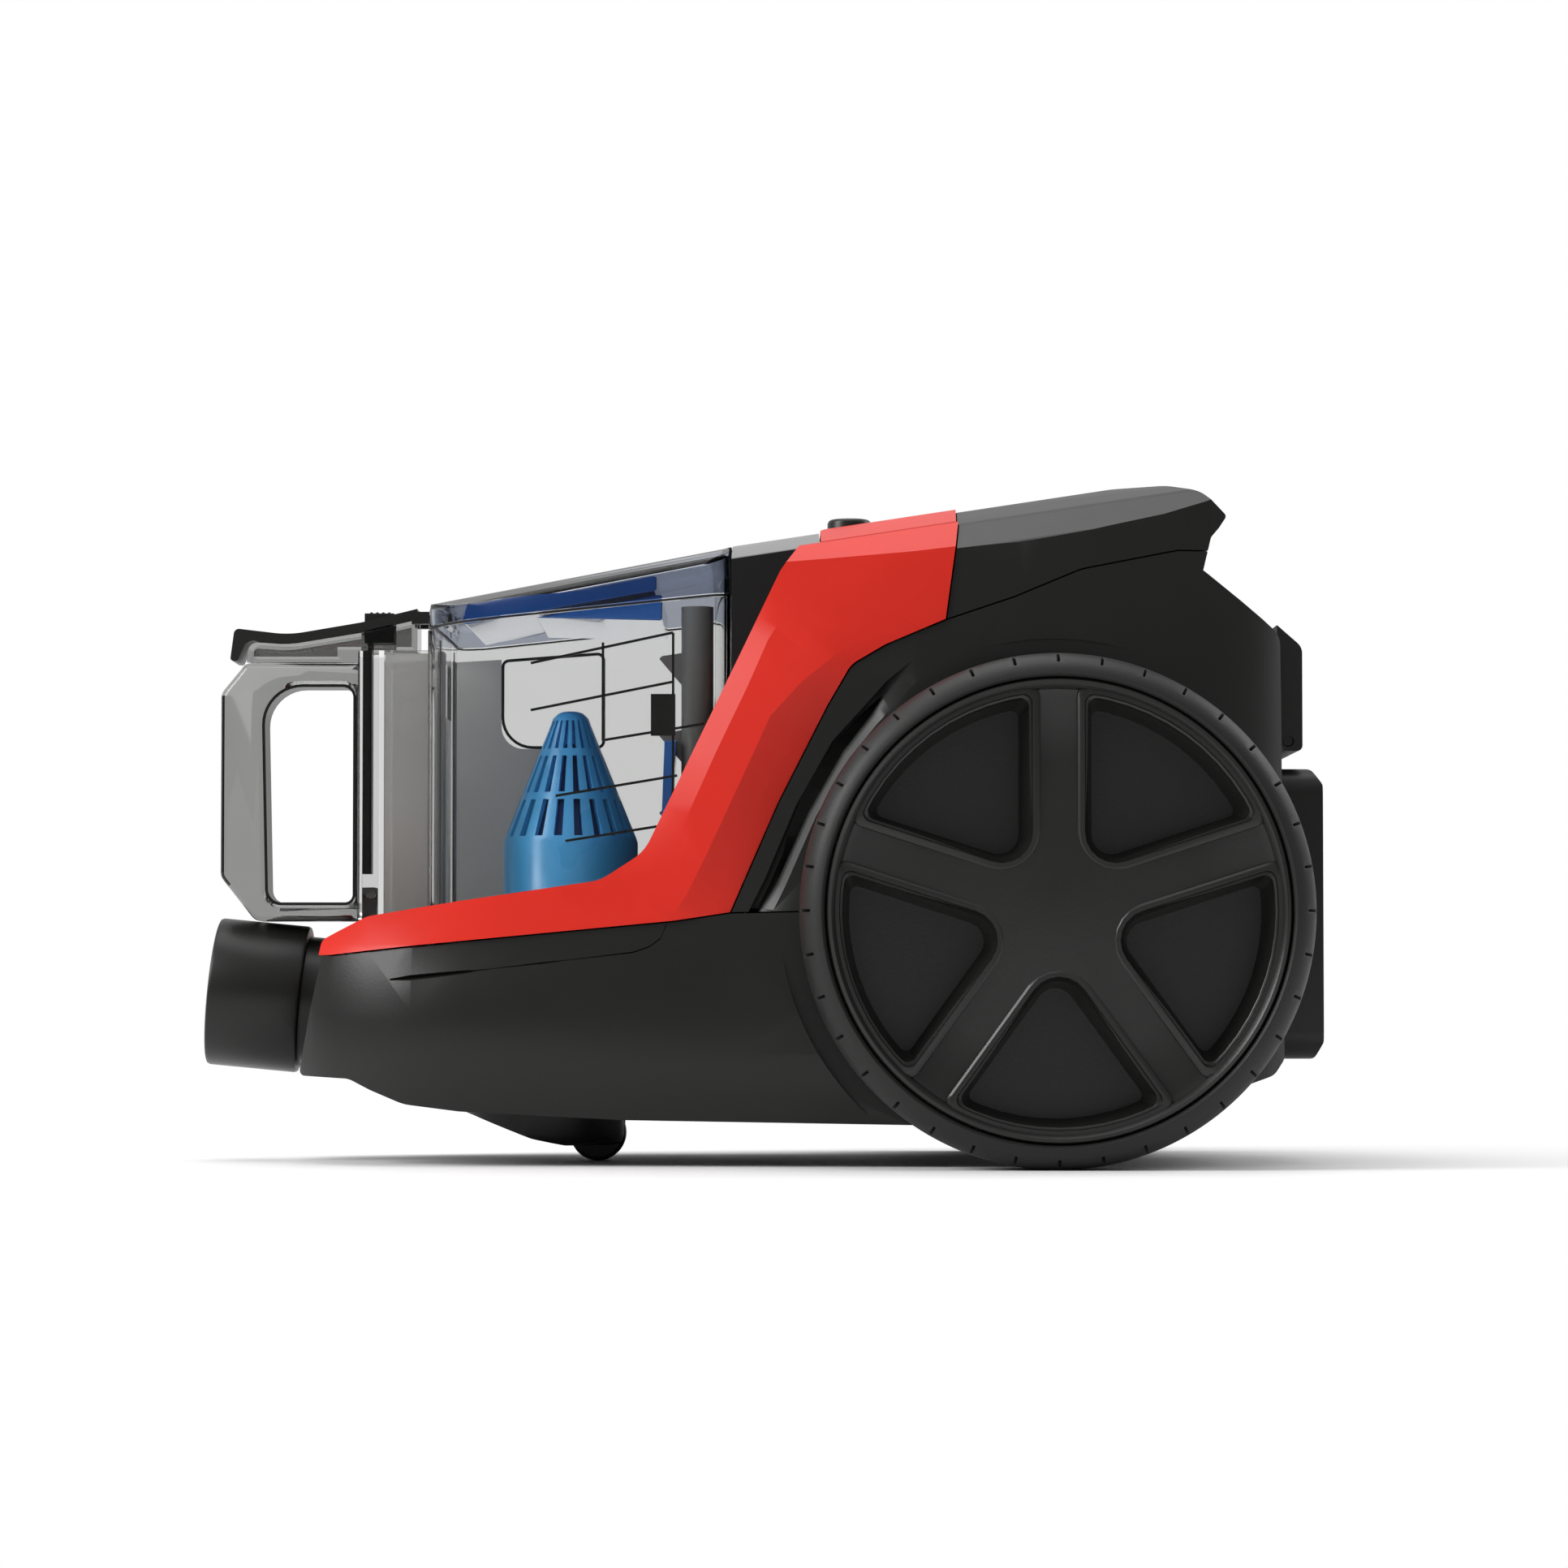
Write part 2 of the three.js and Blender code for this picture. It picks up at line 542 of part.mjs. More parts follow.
// ---------------------------------------------------------------- caster
const casterX = chamberX + 41; // swivel axis
const casterWheelX = casterX + CASTER_TRAIL;
const POD_LOW = 6;
const POD_TOP = 31;
const WELL_TOP = POD_TOP + 1;
const PIN_RADIUS = 5;
const PIN_TOP = WELL_TOP + 14;
const CASTER_AXLE_RADIUS = 2;
const casterSlot = { half: CASTER_WHEEL_WIDTH / 2 + 1, reach: CASTER_WHEEL_RADIUS + 1.5 };
const podRamp = sideSlab(
  [[casterX - 60, -1], [casterX + 4, -1], [casterX + 4, POD_LOW], [casterX - 60, POD_LOW + 24]],
  -WIDE,
  WIDE,
);
const pod = cut(
  rod(CASTER_POD_RADIUS, POD_LOW, POD_TOP, "z", [casterX, 0, 0], 40),
  podRamp,
  box(
    casterWheelX - casterSlot.reach,
    casterWheelX + casterSlot.reach,
    -casterSlot.half,
    casterSlot.half,
    0,
    2 * CASTER_WHEEL_RADIUS + 1.5,
  ),
  rod(CASTER_AXLE_RADIUS + 0.1, -casterSlot.half - 6, casterSlot.half + 6, "y",
    [casterWheelX, 0, CASTER_WHEEL_RADIUS], 16),
  rod(PIN_RADIUS + 0.3, POD_TOP - 6, POD_TOP + 1, "z", [casterX, 0, 0], 24),
);
piece("caster_pod", pod, BLACK);
piece(
  "caster_wheel",
  tube(CASTER_WHEEL_RADIUS, CASTER_AXLE_RADIUS + 0.3, -CASTER_WHEEL_WIDTH / 2, CASTER_WHEEL_WIDTH / 2, "y",
    [casterWheelX, 0, CASTER_WHEEL_RADIUS], 32),
  RUBBER,
);
piece(
  "caster_axle",
  rod(CASTER_AXLE_RADIUS - 0.2, -casterSlot.half - 5, casterSlot.half + 5, "y",
    [casterWheelX, 0, CASTER_WHEEL_RADIUS], 16),
  STEEL,
);
piece(
  "caster_pin",
  join(
    rod(PIN_RADIUS, POD_TOP - 5.7, PIN_TOP, "z", [casterX, 0, 0], 24),
    rod(PIN_RADIUS + 3, WELL_TOP + WALL + 8.5, WELL_TOP + WALL + 10.5, "z", [casterX, 0, 0], 24),
  ),
  STEEL,
);

// ---------------------------------------------------------------- chassis
const wellRadius = CASTER_POD_RADIUS + 2;
const SCREW_RADIUS = 1.8;
const SCREW_HEAD_RADIUS = 3.6;
const SCREW_RECESS = 8;
const SCREW_LENGTH = 16;
const screwPairs = [[noseX + 26, 56], [rearX - 26, 60]];
const screwSpots = screwPairs.flatMap(([x, y]) => [[x, -y], [x, y]]);
const screwBase = FLOOR_CLEARANCE + 12;
const screwSeat = screwBase + SCREW_RECESS;
const bossAt = (x, y) => rod(SCREW_HEAD_RADIUS + 2, screwBase - 8, screwSeat + 3, "z", [x, y, 0], 20);
const bossHole = (x, y) =>
  join(
    rod(SCREW_HEAD_RADIUS + 0.4, -1, screwSeat, "z", [x, y, 0], 20),
    rod(SCREW_RADIUS + 0.4, -1, screwSeat + 20, "z", [x, y, 0], 20),
  );
const reelZ = FLOOR_CLEARANCE + 13; // underside of the reel
const brakeZ = reelZ + REEL_WIDTH - 6;
const MOTOR_WALL = 3;
const OVER_REEL = 8; // reel to motor housing
const OVER_MOTOR = 14; // motor housing to control board
const housingRadius = MOTOR_RADIUS + MOTOR_WALL + 2;
const motorZ = reelZ + REEL_WIDTH + OVER_REEL + housingRadius;
const brakePivot = [axleX - 52, 54];
const chassisInside = envelope(0.5);
let chassis = join(
  chassisShell,
  rod(wellRadius + WALL, FLOOR_CLEARANCE + 2, WELL_TOP + WALL, "z", [casterX, 0, 0], 40),
  rod(PIN_RADIUS + 4, WELL_TOP, WELL_TOP + WALL + 8, "z", [casterX, 0, 0], 24),
  meet(join(...screwSpots.map(([x, y]) => bossAt(x, y))), chassisInside),
  rod(9, FLOOR_CLEARANCE + 1, reelZ - 0.5, "z", [axleX, 0, 0], 24),
  rod(2.5, FLOOR_CLEARANCE + 1.5, brakeZ + 10, "z", [...brakePivot, 0], 16),
);
chassis = cut(
  chassis,
  rod(wellRadius, -1, WELL_TOP, "z", [casterX, 0, 0], 40),
  rod(PIN_RADIUS + RUNNING, -1, DEEP, "z", [casterX, 0, 0], 24),
  inletHole,
  axleHole,
  rod(5.3, FLOOR_CLEARANCE + 5, DEEP, "z", [axleX, 0, 0], 24),
  ...screwSpots.map(([x, y]) => bossHole(x, y)),
);
piece("chassis", chassis, BLACK);
screwSpots.forEach(([x, y], index) => {
  const screw = join(
    rod(SCREW_HEAD_RADIUS, screwSeat - 2.8, screwSeat - 0.3, "z", [x, y, 0], 16),
    rod(SCREW_RADIUS, screwSeat - 1, screwSeat + SCREW_LENGTH, "z", [x, y, 0], 12),
  );
  piece(`chassis_screw_${index + 1}`, screw, STEEL);
});

// ---------------------------------------------------------------- dust bin bay and upper shells
const coneX = chamberX + 50;
const tub = cut(
  meet(skin, bayTub(0)),
  riserHole(0.5, 0, DEEP),
  rod(OUTLET_RADIUS, 0, DEEP, "z", [coneX, 0, 0]),
);
piece("bin_bay", tub, BLACK);
piece("nose_cover", meet(cut(frontShell, inletHole), nose), BLACK);
for (const [side, sign] of [["left", -1], ["right", 1]]) {
  piece(`wheel_arch_${side}`, cut(meet(frontShell, oneSide(sign)), nose, axleHole), BLACK);
  piece(`side_trim_${side}`, meet(trims, oneSide(sign)), RED);
}

// The bezel's hood closes the space between the bin and the deck, over the bay's rear wall.
const HOOD_DROP = 4.3; // crown of the deck to the hood's front edge
const HOOD_CLEARANCE = 2; // top of the bay's rear wall to the hood
const flankRise = (flankTop[1] - flankFoot[1]) / (flankTop[0] - flankFoot[0]);
const hoodBottomZ = flankTop[1] - (flankTop[0] - bayRearX - WALL) * flankRise + HOOD_CLEARANCE;
const hoodFrontX = binRearX + 1;
const hoodHalf = DECK_HALF_WIDTH - GAP / 2;
const hoodSide = [
  [hoodFrontX, hoodBottomZ],
  [hoodFrontX, DECK_Z - HOOD_DROP, 5],
  [deckX - GAP / 2, DECK_Z + 2],
  [deckX - GAP / 2, hoodBottomZ],
];
const hoodInside = [
  [hoodFrontX + WALL, BAY_FLOOR_Z],
  [hoodFrontX + WALL, DECK_Z - HOOD_DROP - WALL],
  [coverX, DECK_Z + 2],
  [coverX, BAY_FLOOR_Z],
];
const hoodHollow = meet(sideSlab(hoodInside, -hoodHalf + WALL, hoodHalf - WALL), underCrown(WALL));
const hood = meet(sideSlab(hoodSide, -hoodHalf, hoodHalf), underCrown(0));
piece("bay_bezel", cut(join(bezel, hood), hoodHollow), GLOSS_BLACK);

// ---------------------------------------------------------------- deck, buttons and switch
const BUTTON_RADIUS = 8;
const BUTTON_TRAVEL = 3;
const buttonX = deckX + 11;
const buttonY = 38;
const buttonTop = DECK_Z + 4.5;
const boardZ = motorZ + housingRadius + OVER_MOTOR;
const rewindRodY = housingRadius + 7; // beside the motor
const boardHalf = rewindRodY - 6;
const deckHole = (sign) => rod(BUTTON_RADIUS + 0.5, 150, DEEP, "z", [buttonX, sign * buttonY, 0], 24);
piece("top_deck", cut(deck, deckHole(-1), deckHole(1)), RED);
const buttonCap = (sign) =>
  turned(
    [[0, buttonTop - 15], [BUTTON_RADIUS, buttonTop - 15], [BUTTON_RADIUS, buttonTop - 1.2],
      [BUTTON_RADIUS - 1.5, buttonTop], [0, buttonTop]],
    "z", [buttonX, sign * buttonY, 0], 24,
  );
const STEM_RADIUS = 3;
const stemTo = boardZ + 13;
const buttonWithStem = (sign) =>
  join(buttonCap(sign), rod(STEM_RADIUS, stemTo, buttonTop - 10, "z", [buttonX, sign * buttonY, 0], 16));
piece("power_button", buttonWithStem(-1), BLACK);
piece("control_board", box(bayRearX + 24, bayRearX + 86, -boardHalf, boardHalf, boardZ, boardZ + 1.6), GREEN);
piece(
  "power_switch",
  box(buttonX - 8, buttonX + 8, -buttonY - 7, -buttonY + 7, boardZ + 1.9, stemTo - BUTTON_TRAVEL - 0.5),
  GREY,
);
piece(
  "rewind_button",
  join(
    buttonWithStem(1),
    rod(STEM_RADIUS - 0.5, brakeZ + 8 + BUTTON_TRAVEL + 0.5, stemTo + 1, "z", [buttonX, rewindRodY, 0], 12),
    box(buttonX - 2, buttonX + 2, buttonY - 2, rewindRodY + 1, stemTo - 3, stemTo + 1),
  ),
  BLACK,
);

// ---------------------------------------------------------------- handle cover and rear
piece("handle_cover", cover, BLACK);
const outletY = REST_HALF_WIDTH + 12;
const outletZ = 118;
const restInset = 8;
const ventHalf = REST_HALF_WIDTH - 14;
const rearHousing = cut(
  rearShell,
  axleHole,
  rod(5, rearX - 20, rearX + 5, "x", [0, outletY, outletZ], 24),
  box(rearX - 6, rearX + 6, -ventHalf, ventHalf, EXHAUST_BOTTOM_Z + 4, EXHAUST_TOP_Z - 8),
);
piece("rear_housing", rearHousing, BLACK);
piece(
  "cord_outlet_bush",
  turned(
    [[3.4, -6], [4.7, -6], [4.7, 0.4], [9, 0.4], [8, 4], [4.6, 4], [3.4, 2.6], [3.4, -6]],
    "x", [rearX, outletY, outletZ], 24,
  ),
  RUBBER,
);
const restSide = [
  [rearX + 0.4, REST_BOTTOM_Z],
  [rearX + REST_DEPTH - 3, REST_BOTTOM_Z, 2],
  [rearX + REST_DEPTH, REST_BOTTOM_Z + 6, 3],
  [rearX + REST_DEPTH, REST_TOP_Z - 6, 3],
  [rearX + REST_DEPTH - 4, REST_TOP_Z, 3],
  [rearX + 0.4, REST_TOP_Z],
];
const rest = cut(
  meet(
    sideSlab(restSide, -REST_HALF_WIDTH, REST_HALF_WIDTH),
    frontSlab(
      [[-REST_HALF_WIDTH, REST_BOTTOM_Z, 10], [REST_HALF_WIDTH, REST_BOTTOM_Z, 10],
        [REST_HALF_WIDTH, REST_TOP_Z, 10], [-REST_HALF_WIDTH, REST_TOP_Z, 10]],
      rearX, rearX + REST_DEPTH + 1,
    ),
  ),
  box(rearX - 1, rearX + REST_DEPTH - WALL, -REST_HALF_WIDTH + restInset, REST_HALF_WIDTH - restInset,
    REST_BOTTOM_Z + restInset, REST_TOP_Z - restInset),
);
piece("rear_rest", rest, BLACK);

// ---------------------------------------------------------------- exhaust
const doorX = rearX + 0.4;
const DOOR_PIN_RADIUS = 1.8;
const doorPin = [doorX + 4, EXHAUST_BOTTOM_Z + 4];
const doorHalf = REST_HALF_WIDTH - 4;
const doorSide = [
  [doorX, doorPin[1] + 0.5],
  [doorX + 3, EXHAUST_BOTTOM_Z + 0.6],
  [rearX + EXHAUST_DEPTH, EXHAUST_BOTTOM_Z, 2],
  [rearX + EXHAUST_DEPTH, EXHAUST_TOP_Z - 8, 6],
  [doorX, EXHAUST_TOP_Z],
];
const SLATS = 6;
const slatPitch = (EXHAUST_TOP_Z - EXHAUST_BOTTOM_Z - 22) / SLATS;
const slots = Array.from({ length: SLATS }, (_, index) => {
  const low = EXHAUST_BOTTOM_Z + 11 + index * slatPitch;
  return box(doorX - 1, doorX + 20, -doorHalf + 14, doorHalf - 14, low, low + slatPitch - 2.2);
});
const door = cut(
  sideSlab(doorSide, -doorHalf, doorHalf),
  ...slots,
  rod(DOOR_PIN_RADIUS + 0.2, -WIDE, WIDE, "y", [doorPin[0], 0, doorPin[1]], 16),
);
piece("exhaust_door", door, BLACK);
piece(
  "exhaust_door_pin",
  rod(DOOR_PIN_RADIUS, -doorHalf + 1, doorHalf - 1, "y", [doorPin[0], 0, doorPin[1]], 16),
  STEEL,
);
const filterBox = {
  rear: rearX - WALL - 1,
  depth: 20,
  half: REST_HALF_WIDTH - 10,
  low: EXHAUST_BOTTOM_Z + 2,
  high: EXHAUST_TOP_Z - 10,
};
const filterFrom = filterBox.rear - filterBox.depth;
piece(
  "exhaust_filter",
  cut(
    box(filterFrom, filterBox.rear, -filterBox.half, filterBox.half, filterBox.low, filterBox.high),
    box(filterBox.rear - 3, filterBox.rear + 1, -filterBox.half + 4, filterBox.half - 4, filterBox.low + 4,
      filterBox.high - 4),
  ),
  PAPER,
);

// ---------------------------------------------------------------- motor
const motorX = bayRearX + WALL + 6;
const MOTOR_LENGTH = 108;
const MOTOR_EYE = 22;
const motorAt = [motorX, 0, motorZ];
piece(
  "motor_housing",
  turned(
    [[MOTOR_EYE, 0], [housingRadius, 0], [housingRadius, MOTOR_LENGTH],
      [housingRadius - MOTOR_WALL, MOTOR_LENGTH], [housingRadius - MOTOR_WALL, MOTOR_WALL],
      [MOTOR_EYE, MOTOR_WALL], [MOTOR_EYE, 0]],
    "x", motorAt, 40,
  ),
  GREY,
);
piece(
  "motor_mount",
  tube(MOTOR_RADIUS - 4, MOTOR_EYE + 3, MOTOR_WALL + 0.3, MOTOR_WALL + 5, "x", motorAt),
  RUBBER,
);
const fanFrom = MOTOR_WALL + 5.3;
const FAN_DEPTH = 26;
piece(
  "fan_cover",
  turned(
    [[MOTOR_EYE - 4, fanFrom], [MOTOR_RADIUS, fanFrom], [MOTOR_RADIUS, fanFrom + FAN_DEPTH],
      [MOTOR_RADIUS - 2, fanFrom + FAN_DEPTH], [MOTOR_RADIUS - 2, fanFrom + 2],
      [MOTOR_EYE - 4, fanFrom + 2], [MOTOR_EYE - 4, fanFrom]],
    "x", motorAt, 36,
  ),
  STEEL,
);
const SHAFT_RADIUS = 4;
const impellerFrom = fanFrom + 6;
const BLADES = 7;
const blade = (index) =>
  solidOf(
    new THREE.BoxGeometry(14, 2, MOTOR_RADIUS - 16)
      .translate(impellerFrom + 9, 0, (MOTOR_RADIUS + 8) / 2)
      .rotateX((index * 2 * Math.PI) / BLADES)
      .translate(...motorAt),
  );
piece(
  "impeller",
  cut(
    join(
      rod(MOTOR_RADIUS - 4, impellerFrom, impellerFrom + 3, "x", motorAt),
      rod(10, impellerFrom, impellerFrom + 16, "x", motorAt, 20),
      ...Array.from({ length: BLADES }, (_, index) => blade(index)),
    ),
    rod(SHAFT_RADIUS + 0.2, -10, 60, "x", motorAt, 16),
  ),
  STEEL,
);
const canFrom = fanFrom + FAN_DEPTH + 0.5;
const canTo = MOTOR_LENGTH - 8;
piece(
  "motor_can",
  turned(
    [[SHAFT_RADIUS + 0.4, canFrom], [MOTOR_RADIUS - 1, canFrom], [MOTOR_RADIUS - 1, canFrom + 3],
      [36, canFrom + 6], [36, canTo], [33, canTo], [33, canFrom + 6], [SHAFT_RADIUS + 0.4, canFrom + 6],
      [SHAFT_RADIUS + 0.4, canFrom]],
    "x", motorAt, 36,
  ),
  STEEL,
);
piece("stator", tube(32.5, 22, canFrom + 14, canTo - 14, "x", motorAt), COPPER);
piece(
  "rotor",
  join(
    rod(SHAFT_RADIUS, impellerFrom - 3, canTo + 6, "x", motorAt, 16),
    rod(20, canFrom + 14, canTo - 14, "x", motorAt),
  ),
  COPPER,
);

// ---------------------------------------------------------------- cord reel
const FLANGE = 2.5;
piece(
  "reel_drum",
  turned(
    [[6, reelZ], [REEL_RADIUS, reelZ], [REEL_RADIUS, reelZ + FLANGE], [28, reelZ + FLANGE],
      [28, reelZ + REEL_WIDTH - FLANGE], [REEL_RADIUS, reelZ + REEL_WIDTH - FLANGE],
      [REEL_RADIUS, reelZ + REEL_WIDTH], [6, reelZ + REEL_WIDTH], [6, reelZ]],
    "z", [axleX, 0, 0], 40,
  ),
  GREY,
);
piece("reel_axle", rod(5, FLOOR_CLEARANCE + 6, reelZ + REEL_WIDTH + 7, "z", [axleX, 0, 0], 20), STEEL);
piece(
  "reel_brake",
  cut(
    planSlab(
      [[brakePivot[0] - 18, brakePivot[1] - 3, 2], [brakePivot[0] + 4, brakePivot[1] - 4],
        [brakePivot[0] + 12, brakePivot[1] - 9, 2], [brakePivot[0] + 15, brakePivot[1] - 6, 2],
        [brakePivot[0] + 6, brakePivot[1] + 5, 4], [brakePivot[0] - 18, brakePivot[1] + 4, 2]],
      brakeZ, brakeZ + 8,
    ),
    rod(2.8, 0, DEEP, "z", [...brakePivot, 0], 16),
  ),
  GREY,
);

// ---------------------------------------------------------------- pre-motor filter
const filterTop = tubFloorUnder - 1;
const filterLow = WELL_TOP + WALL + 13;
const filterX = [coneX - 26, bayRearX - 1];
piece(
  "filter_tray",
  cut(
    box(filterX[0], filterX[1], -34, 34, filterLow, filterTop),
    box(filterX[0] + 2, filterX[1] - 2, -32, 32, filterLow + 2, filterTop - 2),
    rod(OUTLET_RADIUS - 1, filterTop - 3, filterTop + 3, "z", [coneX, 0, 0]),
    rod(9, filterX[1] - 3, filterX[1] + 3, "x", [0, 0, (filterLow + filterTop) / 2], 24),
  ),
  GREY,
);
piece(
  "motor_filter",
  box(filterX[0] + 2.5, filterX[1] - 14, -31.5, 31.5, filterLow + 2.5, filterLow + 18),
  FOAM,
);

// ---------------------------------------------------------------- dust bin
const binFloorZ = BAY_FLOOR_Z + BIN_GAP;
const rimZ = (x) => RIM_FRONT_Z + (x - chamberX) * Math.tan(RIM_SLOPE);
const RISER_TOP_Z = 188;
const CHANNEL = 8; // front of the riser, for the release rod
const underRim = sideSlab(
  [[-DEEP, 0], [DEEP, 0], [DEEP, rimZ(DEEP)], [chamberX - 1, rimZ(chamberX)],
    [chamberX - 1, RISER_TOP_Z], [-DEEP, RISER_TOP_Z]],
  -WIDE, WIDE,
);
const chamberPlan = mirroredPlan([
  [chamberX, RISER_HALF_WIDTH],
  [chamberX, BIN_HALF_WIDTH, 44],
  [binRearX, BIN_HALF_WIDTH, 12],
]);
const riserHalf = RISER_HALF_WIDTH - BIN_WALL;
const riserInside = box(binX + BIN_WALL, chamberX + 1, -riserHalf, riserHalf, binFloorZ + BIN_WALL, DEEP);
const partition = (x, top) => box(x, x + BIN_WALL, -riserHalf - 1, riserHalf + 1, binFloorZ + 1, top);
const partitions = join(partition(chamberX - 1, RISER_TOP_Z + 6), partition(binX + CHANNEL, RISER_TOP_Z));
const latchX = binX + 5;
const binShell = cut(
  meet(
    join(
      cut(
        planSlab(binPlan, binFloorZ, DEEP, 3),
        planSlab(inset(chamberPlan, BIN_WALL), binFloorZ + BIN_WALL, DEEP, 3),
        riserInside,
      ),
      partitions,
    ),
    underRim,
  ),
  riserHole(0, 0, binFloorZ + BIN_WALL + 2),
  rod(OUTLET_RADIUS, 0, binFloorZ + BIN_WALL + 2, "z", [coneX, 0, 0]),
  box(chamberX - 2, chamberX + 4, -16, 16, RISER_TOP_Z - 24, RISER_TOP_Z - 4),
  box(binX - 1, binX + CHANNEL, -4.5, 4.5, binFloorZ - 1, binFloorZ + 9),
);
piece("bin_shell", binShell, CLEAR);
piece(
  "bin_outlet_seal",
  tube(OUTLET_RADIUS + 4, OUTLET_RADIUS, BAY_FLOOR_Z + 0.3, binFloorZ - 0.3, "z", [coneX, 0, 0]),
  RUBBER,
);

const coneZ = binFloorZ + BIN_WALL + 0.3;
const CONE_STRAIGHT = 30;
const CONE_TIP_RADIUS = 6;
const CONE_WALL = 2;
const CONE_SLOTS = 10;
const TIERS = [[0.4, 0.56], [0.6, 0.77], [0.81, 0.94]]; // shares of the cone's height
const coneSlots = TIERS.flatMap(([from, to]) =>
  Array.from({ length: CONE_SLOTS }, (_, index) =>
    solidOf(
      new THREE.BoxGeometry(CONE_RADIUS, 2.2, (to - from) * CONE_HEIGHT)
        .translate(CONE_RADIUS / 2 + CONE_TIP_RADIUS - 1, 0, coneZ + ((from + to) / 2) * CONE_HEIGHT)
        .rotateZ((index * 2 * Math.PI) / CONE_SLOTS)
        .translate(coneX, 0, 0),
    ),
  ),
);
const cone = turned(
  [
    [OUTLET_RADIUS, coneZ],
    [CONE_RADIUS + 3, coneZ],
    [CONE_RADIUS + 3, coneZ + 3],
    [CONE_RADIUS, coneZ + 3],
    [CONE_RADIUS, coneZ + CONE_STRAIGHT],
    [CONE_TIP_RADIUS, coneZ + CONE_HEIGHT - 3],
    [CONE_TIP_RADIUS - 2, coneZ + CONE_HEIGHT],
    [0, coneZ + CONE_HEIGHT],
    [0, coneZ + CONE_HEIGHT - 6],
    [CONE_TIP_RADIUS - CONE_WALL, coneZ + CONE_HEIGHT - 6],
    [CONE_RADIUS - CONE_WALL, coneZ + CONE_STRAIGHT - 1],
    [CONE_RADIUS - CONE_WALL, coneZ + 3],
    [OUTLET_RADIUS, coneZ],
  ],
  "z", [coneX, 0, 0], 30,
);
piece("cyclone_cone", cut(cone, ...coneSlots), BLUE);

// The handle is a loop in front of the riser, under a black grip strip.
const handleX = binX - HANDLE_REACH;
const HANDLE_LOW = 88.5;
const HANDLE_HIGH = 184;
const handleOutline = [
  [binX - 0.4, HANDLE_LOW],
  [handleX + 12, HANDLE_LOW, 4],
  [handleX, HANDLE_LOW + 16, 6],
  [handleX, HANDLE_HIGH - 11, 8],
  [handleX + 8, HANDLE_HIGH],
  [binX - 0.4, HANDLE_HIGH],
];
const handleOpening = [
  [binX - 2.5, HANDLE_LOW + 7, 3],
  [handleX + 18, HANDLE_LOW + 7, 5],
  [handleX + 15.5, HANDLE_HIGH - 9, 14],
  [binX - 2.5, HANDLE_HIGH - 9, 4],
];
piece(
  "bin_handle",
  cut(
    sideSlab(handleOutline, -HANDLE_WIDTH / 2, HANDLE_WIDTH / 2),
    sideSlab(handleOpening, -WIDE, WIDE),
  ),
  SMOKE,
);
const gripRearX = chamberX - 6.5; // clear of the lid's front edge as it swings
const stripTop = [
  [gripRearX, 204, 1],
  [binX + 1, 199],
  [binX - 26, 194.5, 12],
  [handleX + 4.5, 196.5, 2],
  [handleX + 3.5, HANDLE_HIGH + 0.4],
];
const hingeAt = [chamberX + 1.5, RIM_FRONT_Z + 7];
const HINGE_PIN_RADIUS = 1.6;
const HINGE_LUG = 10;
const stripUnder = [
  [binX - 0.4, HANDLE_HIGH + 0.4],
  [binX - 0.4, RISER_TOP_Z + 0.4],
  [gripRearX, RISER_TOP_Z + 0.4],
];
const EAR_REACH = 3; // the ears that hold the hinge pin, past the pin's axis
const EAR_HALF = 2;
const earAt = HINGE_LUG + EAR_HALF + 0.5;
const ears = [-1, 1].map((sign) =>
  box(gripRearX - 2, hingeAt[0] + EAR_REACH, sign * earAt - EAR_HALF, sign * earAt + EAR_HALF,
    hingeAt[1] - EAR_REACH, hingeAt[1] + EAR_REACH),
);
const strip = cut(
  join(sideSlab([...stripTop, ...stripUnder], -HANDLE_WIDTH / 2, HANDLE_WIDTH / 2), ...ears),
  box(latchX - 4, latchX + 8, -7, 7, RISER_TOP_Z - 2, DEEP),
  rod(HINGE_PIN_RADIUS + 0.1, -30, 30, "y", [hingeAt[0], 0, hingeAt[1]], 12),
);
piece("handle_grip", strip, BLACK);
const RELEASE_TRAVEL = 3;
const ROD_HALF = 1.6;
piece(
  "bin_release_button",
  join(
    box(latchX - 3.5, latchX + 7.5, -6.5, 6.5, RISER_TOP_Z + RELEASE_TRAVEL + 0.8, 203),
    box(latchX - ROD_HALF - 0.5, latchX + ROD_HALF - 0.5, -4, 4, binFloorZ + 20, RISER_TOP_Z + 5),
  ),
  BLACK,
);
const hookPivot = [latchX, binFloorZ + 12];
piece(
  "bin_latch_hook",
  join(
    sideSlab(
      [[hookPivot[0] - 2.5, hookPivot[1] + 3, 1.5], [hookPivot[0] - 2.5, binFloorZ - 1],
        [hookPivot[0] - 4, binFloorZ - 1], [hookPivot[0] - 4, binFloorZ - 1.6],
        [hookPivot[0] + 0.5, binFloorZ - 1.6], [hookPivot[0] + 2.2, hookPivot[1] + 3, 1.5]],
      -3.5, 3.5,
    ),
    rod(1.3, -8, 8, "y", [hookPivot[0], 0, hookPivot[1]], 12),
  ),
  GREY,
);

